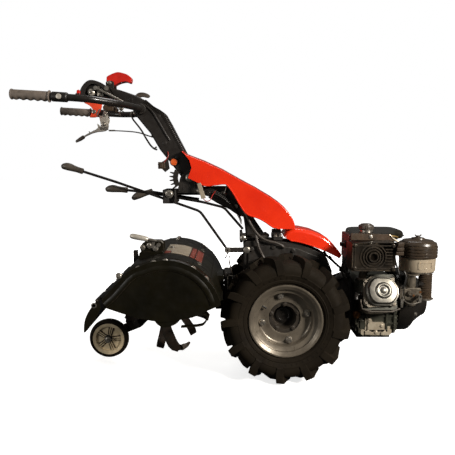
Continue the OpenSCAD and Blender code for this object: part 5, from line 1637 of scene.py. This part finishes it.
def clutch():
    blade_line = [(-792, 1034), (-768, 1036), (-760, 1020), (-763, 1004), (-774, 995), (-790, 992),
                  (-812, 990),
                  (-838, 983), (-862, 972), (-890, 955), (-911, 942), (-909, 948), (-887, 963), (-862, 980),
                  (-838, 992), (-820, 1000), (-808, 1010), (-812, 1028), (-804, 1022), (-798, 1012)]
    shape = Shape().prism(blade_line, 258.5, 271.5)
    make("clutch_lever", shape, "lever_alloy", replaces="clutch_lever", bevel=3, segments=4)
    tip = Shape().tube([(-912, 265, 947), (-908, 265, 949), (-892, 265, 958), (-876, 265, 968),
                        (-872, 265, 970)],
                       [3, 6, 8.4, 8.6, 6], 20)
    make("clutch_lever_tip", tip, "grip_rubber", body="clutch")
    hook = Shape().tube(flowing([(-826, 265, 998), (-836, 265, 988), (-846, 265, 986), (-850, 265, 994)], 6),
                        2.4, 10)
    hook.prism([(-798, 1000), (-798, 1012), (-764, 1012), (-764, 1000)], 256, 274)
    make("clutch_lever_hook", hook, "zinc", body="clutch", sharp=40)


def latch():
    plate = flowing([(-858, 1119), (-842, 1119), (-812, 1115), (-784, 1111), (-781, 1104), (-785, 1089),
                     (-796, 1070), (-806, 1055), (-818, 1052), (-834, 1054), (-828, 1070), (-822, 1088),
                     (-836, 1104), (-858, 1115)], 3)
    shape = Shape().prism([(p.x, p.y) for p in plate], 228.5, 240)
    make("latch_lever", shape, "orange_plastic", replaces="latch_lever", bevel=2.5, segments=3)
    strip = Shape().prism([(-806, 1062), (-801, 1060), (-788, 1086), (-792, 1090)], 226.5, 229.5)
    strip.tube([(-815, 227, 1077), (-815, 250.5, 1077)], 4.8, 16)
    strip.hexagon((-815, 228, 1077), (0, -1, 0), 11, 4)
    make("latch_lever_pin", strip, "zinc", body="latch", sharp=35)


def stop_and_reverse():
    line = flowing([(-698, 1184), (-690, 1190), (-672, 1198), (-654, 1203), (-636, 1200), (-617, 1194),
                    (-602, 1182),
                    (-602, 1170), (-607, 1162), (-622, 1167), (-642, 1164), (-656, 1159), (-670, 1152),
                    (-684, 1149), (-695, 1153), (-699, 1168)], 3)
    shape = Shape().prism([(p.x, p.y) for p in line], -19, 19)
    make("stop_lever", shape, "red_plastic", replaces="stop_lever", bevel=6, segments=5)
    pin = Shape().tube([(-684, -29, 1160), (-684, 29, 1160)], 4.8, 16)
    pin.hexagon((-684, -29, 1160), (0, -1, 0), 10, 4)
    make("stop_lever_pin", pin, "zinc", body="stop")
    knob = flowing([(-604, 1121), (-594, 1132), (-578, 1137), (-560, 1135), (-545, 1128), (-543, 1121),
                    (-552, 1116),
                    (-574, 1120), (-590, 1114), (-600, 1115)], 3)
    shape = Shape().prism([(p.x, p.y) for p in knob], 62, 82)
    make("reverse_lever", shape, "knob_plastic", replaces="reverse_lever", bevel=5, segments=4)
    stem = Shape().tube(eased([(-592, 50, 1092), (-592, 62, 1100), (-590, 72, 1122)], 8), 4.6, 14)
    stem.spin([(0, 0), (8, 0), (9, 1), (9, 14), (8, 15), (0, 15)], (-592, 42.6, 1092), (0, 1, 0), 28)
    stem.tube([(-592, 28, 1092), (-592, 44, 1092)], 3.8, 12)
    make("reverse_lever_stem", stem, "zinc", body="reverse")


SELECTORS = {
    "gear": [(-862, -62, 838), (-656, -62, 772), (-331, -62, 658), (-227, -62, 510)],
    "lock": [(-698, -30, 748), (-540, -30, 731), (-320, -30, 692), (-236, -34, 671), (-160, -37, 584)],
    "speed": [(-606, 42, 712), (-540, 42, 731), (-340, 42, 700)],
}
# along the knob, how far it droops, radius
PEAR = [(-13, 9, 3), (-12, 8.4, 6.5), (-9, 7, 9.5), (-3, 4.2, 12), (5, 1.6, 14), (14, 0, 15),
        (24, -0.6, 14.6),
        (36, 0, 12.8), (50, 0, 11.4), (64, 0, 11.2), (72, 0, 11.6), (75, 0, 11), (76, 0, 8)]


def selectors():
    for word, path in SELECTORS.items():
        start, after = Vector(path[0]), Vector(path[1])
        along = (after - start).normalized()
        line = [start + along * 40] + [Vector(p) for p in path[1:]]
        rod_shape = Shape().tube(eased(line, 15, 6), 5.2, 16)
        make(word + "_rod", rod_shape, "rod_black", replaces=word + "_rod")
        knob = Shape().tube([start + along * d - Vector((0, 0, droop)) for d, droop, r in PEAR],
                            [r for d, droop, r in PEAR], 28)
        make(word + "_rod_knob", knob, "knob_plastic", body=word)


def cables():
    clutch_line = flowing([(-750, 265, 997), (-728, 262, 996), (-690, 240, 993), (-650, 200, 988),
                           (-612, 150, 981),
                           (-580, 105, 972), (-556, 74, 963), (-540, 56, 958), (-534, 43, 957)], 6)
    column_line = flowing([(-640, 193, 1048), (-632, 180, 1036), (-616, 150, 1020), (-596, 112, 1000),
                           (-578, 76, 980), (-562, 46, 958), (-546, 22, 936), (-532, 8, 918), (-518, 2, 906),
                           (-506, 0, 902)], 6)
    shape = Shape().tube(clutch_line, 2.6, 12)
    shape.tube(column_line, 3.6, 12)
    make("control_cables", shape, "cable_sleeve", replaces="control_cables")
    ends = Shape()
    ends.tube([clutch_line[0] - Vector((10, 0, 0)), clutch_line[0] + Vector((18, -2, 0))], 3.6, 14)
    ends.tube([(-534, 64, 957), (-534, 42, 957)], 4, 14)
    ends.spin([(3, 0), (6, 0), (6, 5), (3, 5)], column_line[-1] + Vector((-8, 2, 10)), (0.6, 0, -0.8), 20,
              closed=True)
    for x, y, z in ((-640, 193, 1048), (-700, 246, 1056)):
        ends.spin([(12.6, 0), (14, 0), (14, 9), (12.6, 9)], (x, y + 6, z + 14), (0.78, -0.62, -0.03), 24,
                  closed=True)
    make("cable_ends", ends, "zinc", body="handlebar")


column()
console()
handles()
lever_bracket()
clutch()
latch()
stop_and_reverse()
selectors()
cables()

# ---- camera, light and floor ----

CAMERA_SPOT = (-0.032, -2.053, 0.829)
CAMERA_DROP = 6.76     # degrees by which the camera looks down
FLOOR_NEAR, FLOOR_FAR = 0.9, 2.6    # metres from the middle, between which the floor's painted glow rises to white
FLOOR_GLOW_NEAR = 0.74       # strength of the floor's painted glow near the object, kept lower there so the lamps' shadows still show

view = bpy.data.cameras.new("view")
view.lens, view.sensor_width = 39.8, 36
view.dof.use_dof = False
camera = bpy.data.objects.new("view", view)
camera.location = CAMERA_SPOT
camera.rotation_euler = (math.radians(90 - CAMERA_DROP), 0, 0)
bpy.context.scene.collection.objects.link(camera)
bpy.context.scene.camera = camera


def lamp(name, spot, target, power, width, height, colour):
    light = bpy.data.lights.new(name, "AREA")
    light.shape, light.size, light.size_y = "RECTANGLE", width, height
    light.energy, light.color = power, colour
    holder = bpy.data.objects.new(name, light)
    holder.location = spot
    holder.rotation_euler = (Vector(target) - Vector(spot)).to_track_quat("-Z", "Y").to_euler()
    bpy.context.scene.collection.objects.link(holder)
    return holder


lamp("key", (2.9, -2.7, 2.1), (0, 0, 0.5), 250, 0.8, 0.8, (1.0, 0.94, 0.86))
lamp("fill", (-3.2, -2.4, 1.2), (-0.2, 0, 0.6), 30, 1.6, 1.2, (1.0, 0.98, 0.95))
lamp("top", (0.4, 0.9, 3.6), (0, 0, 0.4), 26, 2.0, 0.7, (1.0, 0.98, 0.96))
# left out of reflections, as it would mirror in the tiller hood
lamp("back", (-0.2, 3.3, 1.3), (0, 0, 0.55), 80, 2.0, 1.5, (1.0, 0.97, 0.92)).visible_glossy = False


def studio_world():
    """White behind the object, and a dim light on it that fades towards the ground."""
    world = bpy.data.worlds.new("studio")
    bpy.context.scene.world = world
    world.use_nodes = True
    tree = world.node_tree
    backdrop = tree.nodes["Background"]
    backdrop.inputs["Color"].default_value = (1, 1, 1, 1)
    backdrop.inputs["Strength"].default_value = 1.0
    height = new_node(tree, "SeparateXYZ")
    tree.links.new(new_node(tree, "TexCoord").outputs["Generated"], height.inputs[0])
    dim = new_node(tree, "Background", Color=(1.0, 0.97, 0.92, 1))
    tree.links.new(spread(tree, height.outputs["Z"], -0.25, 0.8, 0.03, 0.16), dim.inputs["Strength"])
    seen = new_node(tree, "LightPath")
    mix = new_node(tree, "MixShader")
    tree.links.new(seen.outputs["Is Camera Ray"], mix.inputs[0])
    tree.links.new(dim.outputs[0], mix.inputs[1])
    tree.links.new(backdrop.outputs[0], mix.inputs[2])
    tree.links.new(mix.outputs[0], tree.nodes["World Output"].inputs["Surface"])


studio_world()
bpy.context.scene.view_settings.view_transform = "Standard"

floor_mesh = bpy.data.meshes.new("studio_floor")
floor_mesh.from_pydata([(-30, -30, -0.001), (30, -30, -0.001), (30, 30, -0.001), (-30, 30, -0.001)], [],
                       [(0, 1, 2, 3)])
floor_look = bpy.data.materials.new("studio_floor")
floor_look.use_nodes = True
floor_tree = floor_look.node_tree
floor_shader = floor_tree.nodes["Principled BSDF"]
floor_shader.inputs["Base Color"].default_value = (0.8, 0.8, 0.8, 1)
floor_shader.inputs["Roughness"].default_value = 1.0
# painted light: the floor glows, weakly near the object and fully white far out, where the lamps no longer
# reach it
floor_shader.inputs["Emission Color"].default_value = (1, 1, 1, 1)
reach = new_node(floor_tree, "VectorMath", operation="LENGTH")
floor_tree.links.new(new_node(floor_tree, "TexCoord").outputs["Object"], reach.inputs[0])
floor_tree.links.new(spread(floor_tree, reach.outputs["Value"], FLOOR_NEAR, FLOOR_FAR, FLOOR_GLOW_NEAR, 1.0),
                     floor_shader.inputs["Emission Strength"])
floor_mesh.materials.append(floor_look)
studio_floor = bpy.data.objects.new("studio_floor", floor_mesh)
bpy.context.scene.collection.objects.link(studio_floor)
studio_floor.visible_diffuse = studio_floor.visible_glossy = False
